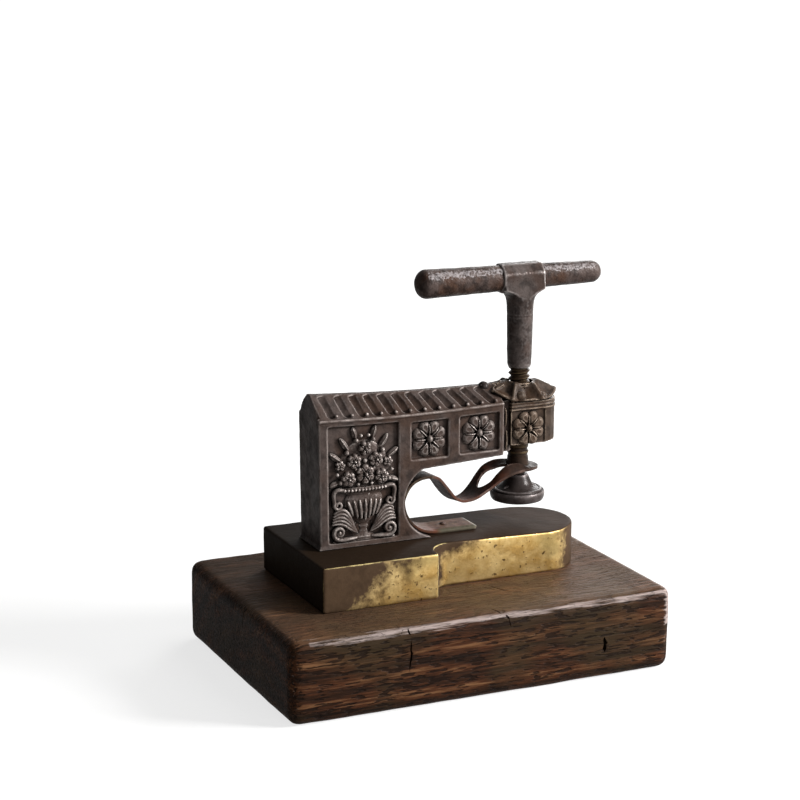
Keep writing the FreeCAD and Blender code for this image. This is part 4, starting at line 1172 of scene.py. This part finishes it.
def makeRosetteRaw(radius, petals, name="rosette"):
    # flower in the XZ plane about the origin, facing -Y; radius in mm
    values = rosette
    scale = radius / values["radius"]
    wide = values["petalWidth"] if petals > 6 else values["fewPetalWidth"]
    parts = []
    place, size = values["petal"]
    petal = addBall("petal", inMm(*place), inMm(*size, wide), 28, 18)
    place, size = values["dish"]
    combine(petal, addBall("dish", inMm(*place), inMm(*size, wide - values["dishRim"]), 24, 16))
    # each petal is narrow at the heart and broad at its end
    full, least, most = values["taper"]
    for vertex in petal.data.vertices:
        vertex.co.z *= min(max(vertex.co.x / (full * mm), least), most)
    place, size = values["sepal"]
    sepal = addBall("sepal", inMm(*place), inMm(*size), 16, 10)
    for k in range(petals):
        angle = 2 * math.pi * (k + 0.5) / petals
        for model, turn in ((petal, angle), (sepal, angle + math.pi / petals)):
            twin = copyOf(model)
            twin.rotation_euler = (0, -turn, 0)
            parts.append(settle(twin))
    for model in (petal, sepal):
        bpy.data.objects.remove(model)
    place, size = values["heart"]
    parts.append(addBall("flowerHeart", inMm(*place), inMm(*size), 24, 16))
    flower = joinAll(name, parts)
    flower.scale = (scale, 0.75 * (1.0 + scale), scale)
    return settle(flower)


def placedRelief(obj, x, z, side, faceY):
    # a relief made facing -Y is put on the near side (-1) or turned to the far side (1); x, z, faceY in mm
    if side > 0:
        obj.rotation_euler = (0, 0, math.pi)
        settle(obj)
    obj.location = inMm(x, faceY, z)
    return settle(obj)


def makeRosettes():
    values = rosette
    model = makeRosetteRaw(values["radius"], values["petals"])
    remeshed(model, values["voxel"] * mm, 1)
    places = []
    for panelLeft, panelRight, low, high in pressFrame["panels"][1:]:
        for side in (-1, 1):
            floorY = pressFrame["midY"] + side * (pressFrame["half"] - pressFrame["panelDepth"])
            places.append(((panelLeft + panelRight) / 2, (low + high) / 2, side, floorY, 1.0, reliefIron))
    for side in (-1, 1):
        floorY = head["midY"] + side * (head["frontHalf"] - head["recess"] + values["headOut"])
        x, z = values["headPlace"]
        places.append((head["axisX"] + x, z, side, floorY, values["headShare"], headReliefIron))
    grain, grainStep = values["unevenGrain"]
    for number, (x, z, side, floorY, share, material) in enumerate(places, 1):
        flower = copyOf(model)
        flower.name = flower.data.name = "rosette%d" % number
        flower.scale = (share, share, share)
        settle(flower)
        placedRelief(flower, x, z, side, floorY + side * values["lift"])
        roughened(flower, values["unevenness"] * mm, (grain + grainStep * number) * mm, 2)
        shadeSmooth(flower, 60)
        finishPiece(flower, material, "root", "cast_iron", "press_frame")
    bpy.data.objects.remove(model)


makeRosettes()
print("rosettes are ready")


# urn of flowers, the relief of the tall panels

urn = {"x": -48.7, "z": 85.6, "voxel": 0.36, "flatness": 0.22, "boldness": 1.25, "floorCut": 0.8,
       "unevenness": 0.22, "unevenGrain": 2.2,
       "profile": [(0, 0.6), (8.6, 0.6), (8.6, 2.6), (7.0, 3.4), (3.4, 5.0), (2.4, 7.4), (3.4, 9.4),
                   (2.6, 10.6), (6.4, 13.2), (11.0, 18.0), (13.2, 23.4), (13.0, 27.8), (11.4, 30.4),
                   (14.6, 32.4), (15.6, 33.8), (14.8, 35.4), (0, 35.4)],
       "flowers": [(0, 43.6, 6.6), (-11.2, 41.2, 5.0), (11.2, 41.2, 5.0), (-7.4, 52.4, 4.9),
                   (7.4, 52.4, 4.9), (0, 60.2, 4.5), (-16.2, 50.0, 3.5), (16.2, 50.0, 3.5)],
       "berries": [(4.6, 37.2, 1.3), (16.6, 39.2, 1.5), (6.2, 47.0, 1.2), (12.2, 58.0, 1.6),
                   (5.8, 65.4, 1.5), (0, 52.0, 1.6), (2.6, 68.2, 1.2), (18.6, 44.6, 1.2)],
       "leaves": [(19.6, 55.4, 35, 5.2), (13.4, 63.2, 55, 5.4), (6.6, 69.8, 72, 4.4),
                  (19.8, 38.2, -18, 4.6)],
       # routes and radii of the cords: handle scroll, volute in the bottom corner, ground line
       "scroll": [(14.5, -1.6, 34.0), (18.6, -1.6, 35.4), (21.2, -1.4, 32.0), (20.2, -1.3, 27.0)],
       "scrollRadii": [1.3, 1.5, 1.4, 1.25], "scrollEnd": (1.15, 0.02),
       "scrollSpiral": (17.6, 24.6, 20, -1.15, 2.9, 0.9, 14),
       "volute": [(5.0, -1.2, 2.4), (9.5, -1.5, 2.2), (14.0, -1.6, 1.9)],
       "voluteRadii": [0.9, 1.3, 1.5], "voluteEnd": (1.5, 0.03),
       "voluteSpiral": (17.0, 6.6, -90, 1.3, 4.6, 1.0, 16),
       "ground": [(-21, -0.4, 0.5), (0, -0.7, 0.6), (21, -0.4, 0.5)], "groundRadii": [0.9, 1.1, 0.9],
       # points of the lowest rib that sweeps up from the foot, and their change in x and z from rib to rib
       "sweep": [(4.4, -1.2, 5.6, 0.5, 0.9), (8.6, -1.8, 7.4, 0.2, 2.2), (13.4, -1.7, 11.4, -0.1, 2.5),
                 (18.4, -1.5, 13.0, 0.1, 2.1), (21.8, -1.0, 12.0, -0.4, 1.7)],
       "sweepRadii": [0.5, 0.95, 1.1, 0.95, 0.6], "sweeps": 5}


def addTube(name, points, radii, sides=3):
    # round cord through points, each with its own radius, all in mm; ends closed
    deselectAll()
    bpy.ops.curve.primitive_nurbs_path_add()
    curve = bpy.context.object
    curve.data.splines.clear()
    spline = curve.data.splines.new('NURBS')
    spline.points.add(len(points) - 1)
    for point, place, radius in zip(spline.points, points, radii):
        point.co = (*(Vector(place) * mm), 1)
        point.radius = radius
    spline.order_u = 3
    spline.use_endpoint_u = True
    spline.resolution_u = 6
    curve.data.bevel_depth = mm
    curve.data.bevel_resolution = sides
    curve.data.use_fill_caps = True
    activate(curve)
    bpy.ops.object.convert(target='MESH')
    return settle(bpy.context.object, name)


def spiral(level, centreX, centreZ, start, turns, outer, inner, steps):
    # points of a volute at a level, clockwise when turns is negative
    points = []
    for k in range(steps + 1):
        share = k / steps
        angle = math.radians(start) + turns * 2 * math.pi * share
        radius = outer + (inner - outer) * share
        points.append((centreX + radius * math.cos(angle), level, centreZ + radius * math.sin(angle)))
    return points


def addCurl(name, mirror, start, radii, spiralValues, level, endRadius):
    # a cord that ends in a spiral and grows thinner on it
    points = start + spiral(level, *spiralValues)
    first, fall = endRadius
    thick = radii + [first - fall * k for k in range(len(points) - len(radii))]
    return addTube(name, [(mirror * x, y, z) for x, y, z in points], thick)


def makeUrnRelief():
    values = urn
    vessel = addSpun("vessel", values["profile"], 0, 0, 64)
    vessel.scale = (1, values["flatness"], 1)
    settle(vessel)
    parts = [vessel]
    # reeds on the bowl, fanned out, and beads on its rim
    for k in range(-3, 4):
        parts.append(addBall("reed", inMm(k * 3.15, -(2.9 - 0.13 * k * k), 20.6 + 0.25 * abs(k)),
                             inMm(1.25, 1.1, 7.0 - 0.5 * abs(k)), 16, 16, (0, math.radians(6.5 * k), 0)))
    for k in range(-6, 7):
        middle = inMm(k * 2.3, -(3.2 - 0.028 * k * k), 33.8)
        parts.append(addBall("rimBead", middle, inMm(*[1.15] * 3), 12, 8))
    # mound behind the flowers
    parts.append(addBall("mound", inMm(0, 0, 46), inMm(17.5, 1.9, 19), 32, 20))
    for x, z, radius in values["flowers"]:
        flower = makeRosetteRaw(radius, 6 if radius > 4.7 else 5, "smallFlower")
        flower.location = inMm(x, -(2.4 if abs(x) < 14 else 1.2), z)
        flower.rotation_euler = (0, math.radians(7 * x), 0)
        parts.append(settle(flower))
    for mirror in (-1, 1):
        for x, z, radius in values["berries"]:
            if x or mirror > 0:
                parts.append(addBall("berry", inMm(mirror * x, -1.9, z), inMm(*[radius] * 3), 14, 10))
        for x, z, angle, length in values["leaves"]:
            turn = (0, -mirror * math.radians(angle), 0)
            parts.append(addBall("leaf", inMm(mirror * x, -0.5, z), inMm(length, 1.5, 1.9), 20, 14, turn))
            size = inMm(length * 0.85, 0.6, 0.4)
            parts.append(addBall("leafRib", inMm(mirror * x, -1.7, z), size, 12, 8, turn))
        parts.append(addCurl("handleScroll", mirror, values["scroll"], values["scrollRadii"],
                             values["scrollSpiral"], -1.4, values["scrollEnd"]))
        parts.append(addCurl("cornerVolute", mirror, values["volute"], values["voluteRadii"],
                             values["voluteSpiral"], -1.5, values["voluteEnd"]))
        eyeX, eyeZ = values["voluteSpiral"][:2]
        parts.append(addBall("voluteEye", inMm(mirror * eyeX, -1.5, eyeZ), inMm(*[1.5] * 3), 14, 10))
        for k in range(values["sweeps"]):
            sweep = [(mirror * (x + k * stepX), y, z + k * stepZ)
                     for x, y, z, stepX, stepZ in values["sweep"]]
            parts.append(addTube("sweep", sweep, values["sweepRadii"]))
        parts.append(addBall("leafBack", inMm(mirror * 13.0, 0, 14.6), inMm(8.6, 1.2, 7.6), 24, 16,
                             (0, -mirror * math.radians(28), 0)))
    parts.append(addTube("groundLine", values["ground"], values["groundRadii"]))
    relief = joinAll("urnRelief", parts)
    remeshed(relief, values["voxel"] * mm, 1)
    # trim what lies behind the panel's floor
    activate(relief)
    bpy.ops.object.mode_set(mode='EDIT')
    bpy.ops.mesh.select_all(action='SELECT')
    bpy.ops.mesh.bisect(plane_co=inMm(0, values["floorCut"], 0), plane_no=(0, 1, 0), use_fill=True,
                        clear_outer=True)
    bpy.ops.object.mode_set(mode='OBJECT')
    relief.scale = (1, values["boldness"], 1)
    return settle(relief)


def makeUrns():
    model = makeUrnRelief()
    for name, side in (("urnReliefFront", -1), ("urnReliefBack", 1)):
        relief = copyOf(model)
        relief.name = relief.data.name = name
        floorY = pressFrame["midY"] + side * (pressFrame["half"] - pressFrame["panelDepth"])
        placedRelief(relief, urn["x"], urn["z"], side, floorY)
        roughened(relief, urn["unevenness"] * mm, urn["unevenGrain"] * mm, 2)
        shadeSmooth(relief, 60)
        finishPiece(relief, reliefIron, "root", "cast_iron", "press_frame")
    bpy.data.objects.remove(model)


makeUrns()
print("urn reliefs are ready")


# press screw

pressScrew = {"x": 67.6, "y": 4.5, "root": 5.5, "crest": 6.95, "pitch": 3.8, "threadBottom": 131.0,
              "threadTop": 184.5, "sides": 56,
              "neck": [(0, 101.5), (4.0, 101.5), (4.0, 104.4), (3.1, 104.4), (3.1, 106.6), (4.0, 106.6),
                       (4.0, 113.1), (4.9, 113.1), (4.9, 119.0), (7.0, 119.0), (7.5, 119.5), (7.4, 120.3),
                       (7.0, 122.0), (6.8, 124.8), (6.4, 125.2), (6.4, 126.9), (6.9, 127.3), (7.0, 128.4),
                       (6.7, 128.9), (6.3, 129.2), (6.3, 130.6), (6.75, 131.0), (6.9, 131.4), (6.9, 133.6),
                       (5.5, 134.4), (5.5, 188.0), (0, 188.0)]}


def makePressScrew():
    values = pressScrew
    x, y = values["x"] * mm, values["y"] * mm
    pitch, root, crest = values["pitch"] * mm, values["root"] * mm, values["crest"] * mm
    turns = int((values["threadTop"] - values["threadBottom"]) / values["pitch"])
    # one tooth's closed outline, wound up the axis by the Screw modifier; a plain core fills the middle
    tooth = [(root - 0.0008, 0), (root, 0.10 * pitch), (crest - 0.0002, 0.40 * pitch), (crest, 0.46 * pitch),
             (crest, 0.56 * pitch), (crest - 0.0002, 0.62 * pitch), (root, 0.92 * pitch),
             (root - 0.0008, pitch)]
    thread = addOutline("pressScrew", [(radius, 0, z) for radius, z in tooth])
    addModifier(thread, 'SCREW', axis='Z', screw_offset=pitch, iterations=turns, steps=values["sides"],
                render_steps=values["sides"], use_merge_vertices=False, use_smooth_shade=False)
    activate(thread)
    bpy.ops.object.mode_set(mode='EDIT')
    bpy.ops.mesh.select_all(action='SELECT')
    bpy.ops.mesh.fill_holes(sides=len(tooth))
    bpy.ops.object.mode_set(mode='OBJECT')
    faceOutwards(thread)
    thread.location = (x, y, values["threadBottom"] * mm)
    settle(thread)
    low = addSpun("neck", values["neck"], x, y, 64)
    screw = joinAll("pressScrew", [thread, low])
    shadeSmooth(screw, 35)
    return finishPiece(screw, threadSteel, "screw", "screw_steel", "press_screw")


makePressScrew()
print("screw is ready")


# handle: shank with cross barrel, and the bar through it

handle = {"x": 67.6, "y": 4.5, "barZ": 243.1, "barLeft": -6.7, "barRight": 125.5, "leftRadius": 9.4,
          "rightRadius": 7.1, "dome": 7.0, "barrelLeft": 16.0, "barrelRight": 13.6, "flats": 18.6,
          "shank": [(4.7, 184.0), (6.4, 184.0), (7.3, 184.7), (7.8, 186.2), (7.95, 190.0), (8.1, 195.0),
                    (8.35, 208.0), (8.55, 218.25), (8.28, 218.5), (8.55, 218.75), (8.7, 224.0), (9.0, 227.4),
                    (9.7, 230.4), (11.0, 232.7), (13.0, 234.6), (15.6, 235.8), (15.9, 240.0), (4.7, 240.0)],
          "squareness": 0.7, "barrelEdge": 1.0, "barGap": 0.15, "hole": (45, 88), "voxel": 0.5,
          "barVoxel": 0.6, "hubUnevenness": 0.35, "hubGrain": 6, "barUnevenness": 0.55, "barGrain": 9}


def barRadius(place):
    # the bar's radius at x, in mm: it tapers evenly
    slope = (handle["rightRadius"] - handle["leftRadius"]) / (handle["barRight"] - handle["barLeft"])
    return handle["leftRadius"] + slope * (place - handle["barLeft"])


def makeHandleHub():
    values = handle
    x, y, barZ = values["x"] * mm, values["y"] * mm, values["barZ"] * mm
    half = values["flats"] / 2 * mm
    shank = addSpun("handleHub", values["shank"], x, y)
    # the flare is only as thick as the barrel, front to back, and its plan grows from round to nearly square
    for vertex in shank.data.vertices:
        reach = math.hypot(vertex.co.x - x, vertex.co.y - y)
        if reach > half:
            turn = abs(vertex.co.x - x) / reach
            grown = (reach - half) / (values["barrelLeft"] * mm - half)
            squared = reach * turn ** (1 - values["squareness"] * grown)
            vertex.co.x = x + math.copysign(squared, vertex.co.x - x)
        vertex.co.y = y + max(-half, min(half, vertex.co.y - y))
        if vertex.co.x > x:
            vertex.co.x = min(vertex.co.x, x + values["barrelRight"] * mm)
    reach = half * math.tan(math.radians(22.5))
    outline = [(-reach, -half), (reach, -half), (half, -reach), (half, reach), (reach, half), (-reach, half),
               (-half, reach), (-half, -reach)]
    start = x - values["barrelLeft"] * mm
    barrel = addSlab("barrel", [(start, y + across, barZ + up) for across, up in outline],
                     ((values["barrelLeft"] + values["barrelRight"]) * mm, 0, 0))
    bevelEdges(barrel, lambda middle, way: abs(way.x) < 0.5, values["barrelEdge"] * mm, 3)
    hub = joinAll("handleHub", [shank, barrel])
    remeshed(hub, values["voxel"] * mm, 3)
    roughened(hub, values["hubUnevenness"] * mm, values["hubGrain"] * mm, 2)
    start, end = values["hole"]
    wide, narrow = (barRadius(place) - values["barGap"] for place in (start, end))
    combine(hub, addRod("barHole", wide * mm, (start * mm, y, barZ), (end * mm, y, barZ), 48, narrow * mm))
    shadeSmooth(hub, 50)
    return finishPiece(hub, hubIron, "screw", "wrought_iron", "handle_hub")


def makeHandleBar():
    values = handle
    y, z, dome = values["y"], values["barZ"], values["dome"]
    start, end = values["barLeft"] + dome, values["barRight"] - dome
    parts = [addRod("handleBar", barRadius(start) * mm, inMm(start, y, z), inMm(end, y, z), 64,
                    barRadius(end) * mm)]
    for place in (start, end):
        radius = barRadius(place)
        parts.append(addBall("barEnd", inMm(place, y, z), inMm(dome, radius, radius), 48, 32))
    bar = joinAll("handleBar", parts)
    remeshed(bar, values["barVoxel"] * mm, 2)
    roughened(bar, values["barUnevenness"] * mm, values["barGrain"] * mm, 3)
    shadeSmooth(bar, 60)
    return finishPiece(bar, barIron, "screw", "handle_iron", "handle_bar")


makeHandleHub()
makeHandleBar()
print("handle is ready")


# ram foot, turned and rubbed

ramFoot = {"x": 67.6, "y": 4.5, "sides": 96,
           "outline": [(4.1, 99.0), (14.05, 99.0), (14.05, 95.7), (15.7, 95.7), (16.7, 96.1), (17.4, 97.2),
                       (17.8, 98.6), (17.95, 100.2), (17.75, 101.5), (17.2, 102.15), (16.75, 102.0),
                       (16.4, 102.3), (16.15, 102.95), (15.5, 103.5), (14.6, 103.65), (14.0, 103.4),
                       (13.4, 103.75), (12.4, 104.15), (11.3, 104.8), (10.35, 105.7), (9.55, 106.8),
                       (8.85, 108.1), (8.2, 109.5), (7.6, 110.9), (7.15, 112.0), (6.7, 112.6), (4.1, 112.6)]}


def makeRamFoot():
    values = ramFoot
    foot = addSpun("ramFoot", values["outline"], *inMm(values["x"], values["y"]), values["sides"])
    shadeSmooth(foot, 38)
    return finishPiece(foot, forgedIron, "ram", "wrought_iron", "ram_foot")


makeRamFoot()


# ridge knob

ridgeKnob = {"x": 41.0, "y": 2.6, "stemY": 4.2, "z": 173.8, "size": (3.6, 3.6, 3.5), "lean": 14,
             "stemRadius": 1.6, "stemLow": 165.0, "voxel": 0.3, "unevenness": 0.3, "unevenGrain": 2.5}


def makeRidgeKnob():
    values = ridgeKnob
    x, y, z = values["x"], values["y"], values["z"]
    ball = addBall("ridgeKnob", inMm(x, y, z), inMm(*values["size"]), 32, 20,
                   (math.radians(values["lean"]), 0, 0))
    stem = addRod("knobStem", values["stemRadius"] * mm, inMm(x, values["stemY"], values["stemLow"]),
                  inMm(x, values["stemY"], z), 24)
    knob = joinAll("ridgeKnob", [ball, stem])
    remeshed(knob, values["voxel"] * mm, 3)
    roughened(knob, values["unevenness"] * mm, values["unevenGrain"] * mm, 1)
    shadeSmooth(knob, 60)
    return finishPiece(knob, forgedIron, "root", "cast_iron", "ridge_knob")


makeRidgeKnob()
print("foot and knob are ready")


# lift spring: a flat strip, twisted a little, with a long eye round the screw; lengths in mm

spring = {"nearY": -7.0, "farY": 14.5, "thickness": 1.7, "eyeHalf": 0.54, "eyeFrom": 38.5, "eyeTo": 73.6,
          "tipFrom": 71.5, "rows": 26, "columns": 260, "seamX": 0.8, "tabLength": 26.0, "tabGrowth": 0.55,
          "tabBevel": 2.5, "tabDrop": 1.15, "tabCorner": 3.2, "twist": 1.9, "twistRange": (44, 53, 65, 75),
          "nearRise": 1.8, "riseRange": (46, 56, 60, 71), "edge": 0.45, "tabFade": 14, "borderFade": 4,
          "border": (2.0, 2.8), "eyeStartLength": 1.7,
          "throat": (3.0, 106.0, 22.3), "turns": [252, 238, 222, 206, 192, 180],
          "tab": [(33.5, 83.05), (26, 83.05), (19, 83.0), (11, 83.0), (4.2, 83.1)],
          # the two edges of the strip, x and z
          "near": [(-18.2, 109.6), (-16.4, 113.2), (-14.6, 115.6), (-12.2, 117.6), (-8.6, 119.3),
                   (-5.0, 120.1), (-0.2, 120.2), (4.6, 119.0), (7.3, 116.6), (10.7, 112.4), (13.5, 108.9),
                   (15.6, 106.2), (18.3, 103.6), (21.1, 102.1), (24.0, 101.5), (29.3, 101.9), (34.1, 103.4),
                   (39.6, 106.3), (45.1, 109.5), (49.9, 112.3), (56.8, 115.2), (63.8, 116.9), (70.1, 117.4),
                   (75.0, 117.9), (80.5, 117.8)],
          "far": [(-18.2, 109.6), (-16.8, 112.8), (-14.8, 115.3), (-12.0, 117.2), (-8.4, 118.6),
                  (-4.6, 118.9), (0.2, 118.5), (4.9, 117.6), (7.6, 115.4), (10.0, 112.6), (12.6, 108.8),
                  (14.4, 106.4), (17.2, 103.0), (20.5, 100.2), (24.6, 98.2), (29.6, 99.0), (34.0, 101.8),
                  (38.6, 106.9), (42.4, 112.2), (47.4, 117.4), (55.0, 120.1), (63.0, 119.9), (70.0, 118.8),
                  (75.0, 118.1), (80.5, 117.8)]}


def smoothPoints(points, steps):
    # Catmull-Rom line through points, evenly stepped between each pair
    padded = [points[0] * 2 - points[1]] + points + [points[-1] * 2 - points[-2]]
    last = len(points) - 1
    line = []
    for n in range(steps + 1):
        place = n / steps * last
        k = min(int(place), last - 1)
        t = place - k
        a, b, c, d = padded[k:k + 4]
        line.append(0.5 * (2 * b + (c - a) * t + (2 * a - 5 * b + 4 * c - d) * t * t
                           + (3 * b - a - 3 * c + d) * t ** 3))
    return line


def springEdges():
    values = spring
    x, z, radius = values["throat"]
    arc = [(x + radius * math.cos(math.radians(turn)), z + radius * math.sin(math.radians(turn)))
           for turn in values["turns"]]
    rows = []
    for side, y in (("near", values["nearY"]), ("far", values["farY"])):
        rows.append(smoothPoints([Vector((x, y, z)) for x, z in values["tab"] + arc + values[side]], 600))
    return rows


near, far = springEdges()
middle = [(a + b) / 2 for a, b in zip(near, far)]
run = [0.0]
for a, b in zip(middle, middle[1:]):
    run.append(run[-1] + (b - a).length)


def runAt(x):
    # length along the strip at which its middle passes x, after the top of its first bend
    start = next(k for k, place in enumerate(middle) if place.z > 117 and place.x > -8)
    return next(run[k] for k in range(start, len(run)) if middle[k].x >= x)


def makeFlatStrip():
    # the strip laid flat, x along and y across, with its eye and its round tip, in mm
    values = spring
    total, half = run[-1], (values["farY"] - values["nearY"]) / 2
    deselectAll()
    bpy.ops.mesh.primitive_grid_add(x_subdivisions=values["columns"], y_subdivisions=values["rows"], size=1,
                                    location=(total / 2, 0, -values["thickness"] / 2))
    bpy.context.object.scale = (total, 2 * half, 1)
    flat = settle(bpy.context.object, "liftSpring")
    activate(flat)
    bpy.ops.object.mode_set(mode='EDIT')
    bpy.ops.mesh.select_all(action='SELECT')
    bpy.ops.mesh.extrude_region_move(TRANSFORM_OT_translate={"value": (0, 0, values["thickness"])})
    bpy.ops.object.mode_set(mode='OBJECT')
    faceOutwards(flat)
    eyeStart, eyeEnd, tipStart = (runAt(values[key]) for key in ("eyeFrom", "eyeTo", "tipFrom"))
    eyeHalf = half * values["eyeHalf"]
    corner = values["tabCorner"]
    # cutters reach this far past the strip, and their round stretches a hair beyond its corners
    spare, slack, outside = 5, 1.001, half + 5
    end = [(-spare, outside), (-spare, -outside), (corner, -outside)]
    for place, first in ((-1, 270), (1, 180)):
        for k in range(9):
            angle = math.radians(first - 90 * k / 8)
            end.append((corner + corner * slack * math.cos(angle),
                        place * (half - corner) + corner * slack * math.sin(angle)))
    end.append((corner, outside))
    eye = []
    tip = [(total + spare, -outside), (total + spare, outside), (tipStart, outside)]
    for k in range(25):
        angle = math.pi / 2 + math.pi * k / 24
        eye.append((eyeStart + eyeHalf * values["eyeStartLength"] * (1 + math.cos(angle)),
                    eyeHalf * math.sin(angle)))
    for k in range(25):
        angle = -math.pi / 2 + math.pi * k / 24
        eye.append((eyeEnd - eyeHalf * (1 - math.cos(angle)), eyeHalf * math.sin(angle)))
        tip.append((tipStart + (total - tipStart) * math.cos(angle), -half * slack * math.sin(angle)))
    tip.append((tipStart, -outside))
    for name, outline in (("eye", eye), ("tipTrim", tip), ("endTrim", end)):
        combine(flat, addSlab(name, [(x, y, -spare) for x, y in outline], (0, 0, 2 * spare)))
    addModifier(flat, 'BEVEL', width=values["edge"], segments=2, limit_method='ANGLE',
                angle_limit=math.radians(50))
    return flat


def ramp(value, start, end):
    return min(max((value - start) / (end - start), 0.0), 1.0)


def bentToRoute(obj):
    values = spring
    half = (values["farY"] - values["nearY"]) / 2
    for vertex in obj.data.vertices:
        along, across, up = vertex.co
        along = min(max(along, 0), run[-1])
        # the tab on the bed is thicker, with a wide bevel round its top
        thicker = 1 - ramp(along, values["tabLength"], values["tabLength"] + values["tabFade"])
        up += (up + values["thickness"] / 2) * values["tabGrowth"] * thicker
        if up > 0:
            inside = min(half - abs(across), along)
            up -= values["tabDrop"] * thicker * (1 - ramp(inside, 0, values["tabBevel"]))
        k = min(max(bisect.bisect_left(run, along), 1), len(run) - 1)
        part = (along - run[k - 1]) / (run[k] - run[k - 1])
        side = (across + half) / (2 * half)
        place = near[k - 1].lerp(near[k], part).lerp(far[k - 1].lerp(far[k], part), side)
        ahead = near[k].lerp(far[k], side) - near[k - 1].lerp(far[k - 1], side)
        place = place + (far[k] - near[k]).cross(ahead).normalized() * up
        # each arm of the eye is twisted a little, its outer edge down in front and up behind
        wave = math.sin(2 * math.pi * min(max(side, 0), 1))
        for amount, (start, full, fade, end) in ((values["twist"] * wave, values["twistRange"]),
                                                 (values["nearRise"] * max(wave, 0), values["riseRange"])):
            place.z += amount * ramp(place.x, start, full) * (1 - ramp(place.x, fade, end))
        vertex.co = place * mm
    return faceOutwards(obj)


def tabBorder(place):
    # 1 along the border of the tab, 0 inside it and past its end; place on the flat strip, in mm
    half = (spring["farY"] - spring["nearY"]) / 2
    inside = ramp(min(half - abs(place.y), place.x), *spring["border"])
    past = ramp(place.x, spring["tabLength"], spring["tabLength"] + spring["borderFade"])
    return (1 - inside) * (1 - past)


def makeSpring():
    # cut at the top of the first bend: the foot stays on the bed, the rest reaches over to the ram
    foot = makeFlatStrip()
    arm = copyOf(foot)
    for piece, name, ahead in ((foot, "liftSpringFoot", False), (arm, "liftSpringArm", True)):
        activate(piece)
        bpy.ops.object.mode_set(mode='EDIT')
        bpy.ops.mesh.select_all(action='SELECT')
        bpy.ops.mesh.bisect(plane_co=(runAt(spring["seamX"]), 0, 0), plane_no=(1, 0, 0), use_fill=True,
                            clear_inner=ahead, clear_outer=not ahead)
        bpy.ops.object.mode_set(mode='OBJECT')
        if not ahead:
            paintPoints(piece, "rub", tabBorder)
        bentToRoute(piece)
        piece.name = piece.data.name = name
        shadeSmooth(piece, 50)
        piece.data.materials.clear()
        piece.data.materials.append(rustedSpring if ahead else springTab)
        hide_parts("lift_spring")
    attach(foot, "root")
    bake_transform(arm)


makeSpring()


# screw that holds the spring's foot; its outline's heights are from the head's widest place

footScrew = {"x": 13.5, "y": 4.2, "z": 84.85, "turn": 28, "slotSize": (12, 0.6), "slotFrom": 0.7,
             "slotTo": 4.0,
             "outline": [(0, -14), (1.8, -14), (1.8, -2.2), (2.09, -0.6), (2.2, 0), (2.046, 0.5),
                         (1.54, 0.9), (0.77, 1.1), (0, 1.2)]}


def makeFootScrew():
    values = footScrew
    x, y, z = values["x"], values["y"], values["z"]
    outline = [(radius, z + up) for radius, up in values["outline"]]
    top = addSpun("springFootScrew", outline, x * mm, y * mm, 40)
    length, width = values["slotSize"]
    slot = addBox("slot", inMm(x - length / 2, y - width / 2, z + values["slotFrom"]),
                  inMm(x + length / 2, y + width / 2, z + values["slotTo"]))
    turnAbout(slot, inMm(x, y, z), 'Z', math.radians(values["turn"]))
    combine(top, slot)
    shadeSmooth(top, 35)
    return finishPiece(top, rustedSpring, "root", "steel", "spring_foot_screw")


makeFootScrew()
print("spring is ready")


# pieces that keep their shape and only get a finish; those not named here are dark steel

keptFinish = {"nut_bush": nutBronze, "seal_die": dieBrass, "swivel_pins": forgedIron, "shank_pin": hubIron}

for nodeName, node in nodes.items():
    if not node.hide_render:
        for materialSlot in node.material_slots:
            materialSlot.material = keptFinish.get(nodeName, darkSteel)
print("kept pieces have their finish")
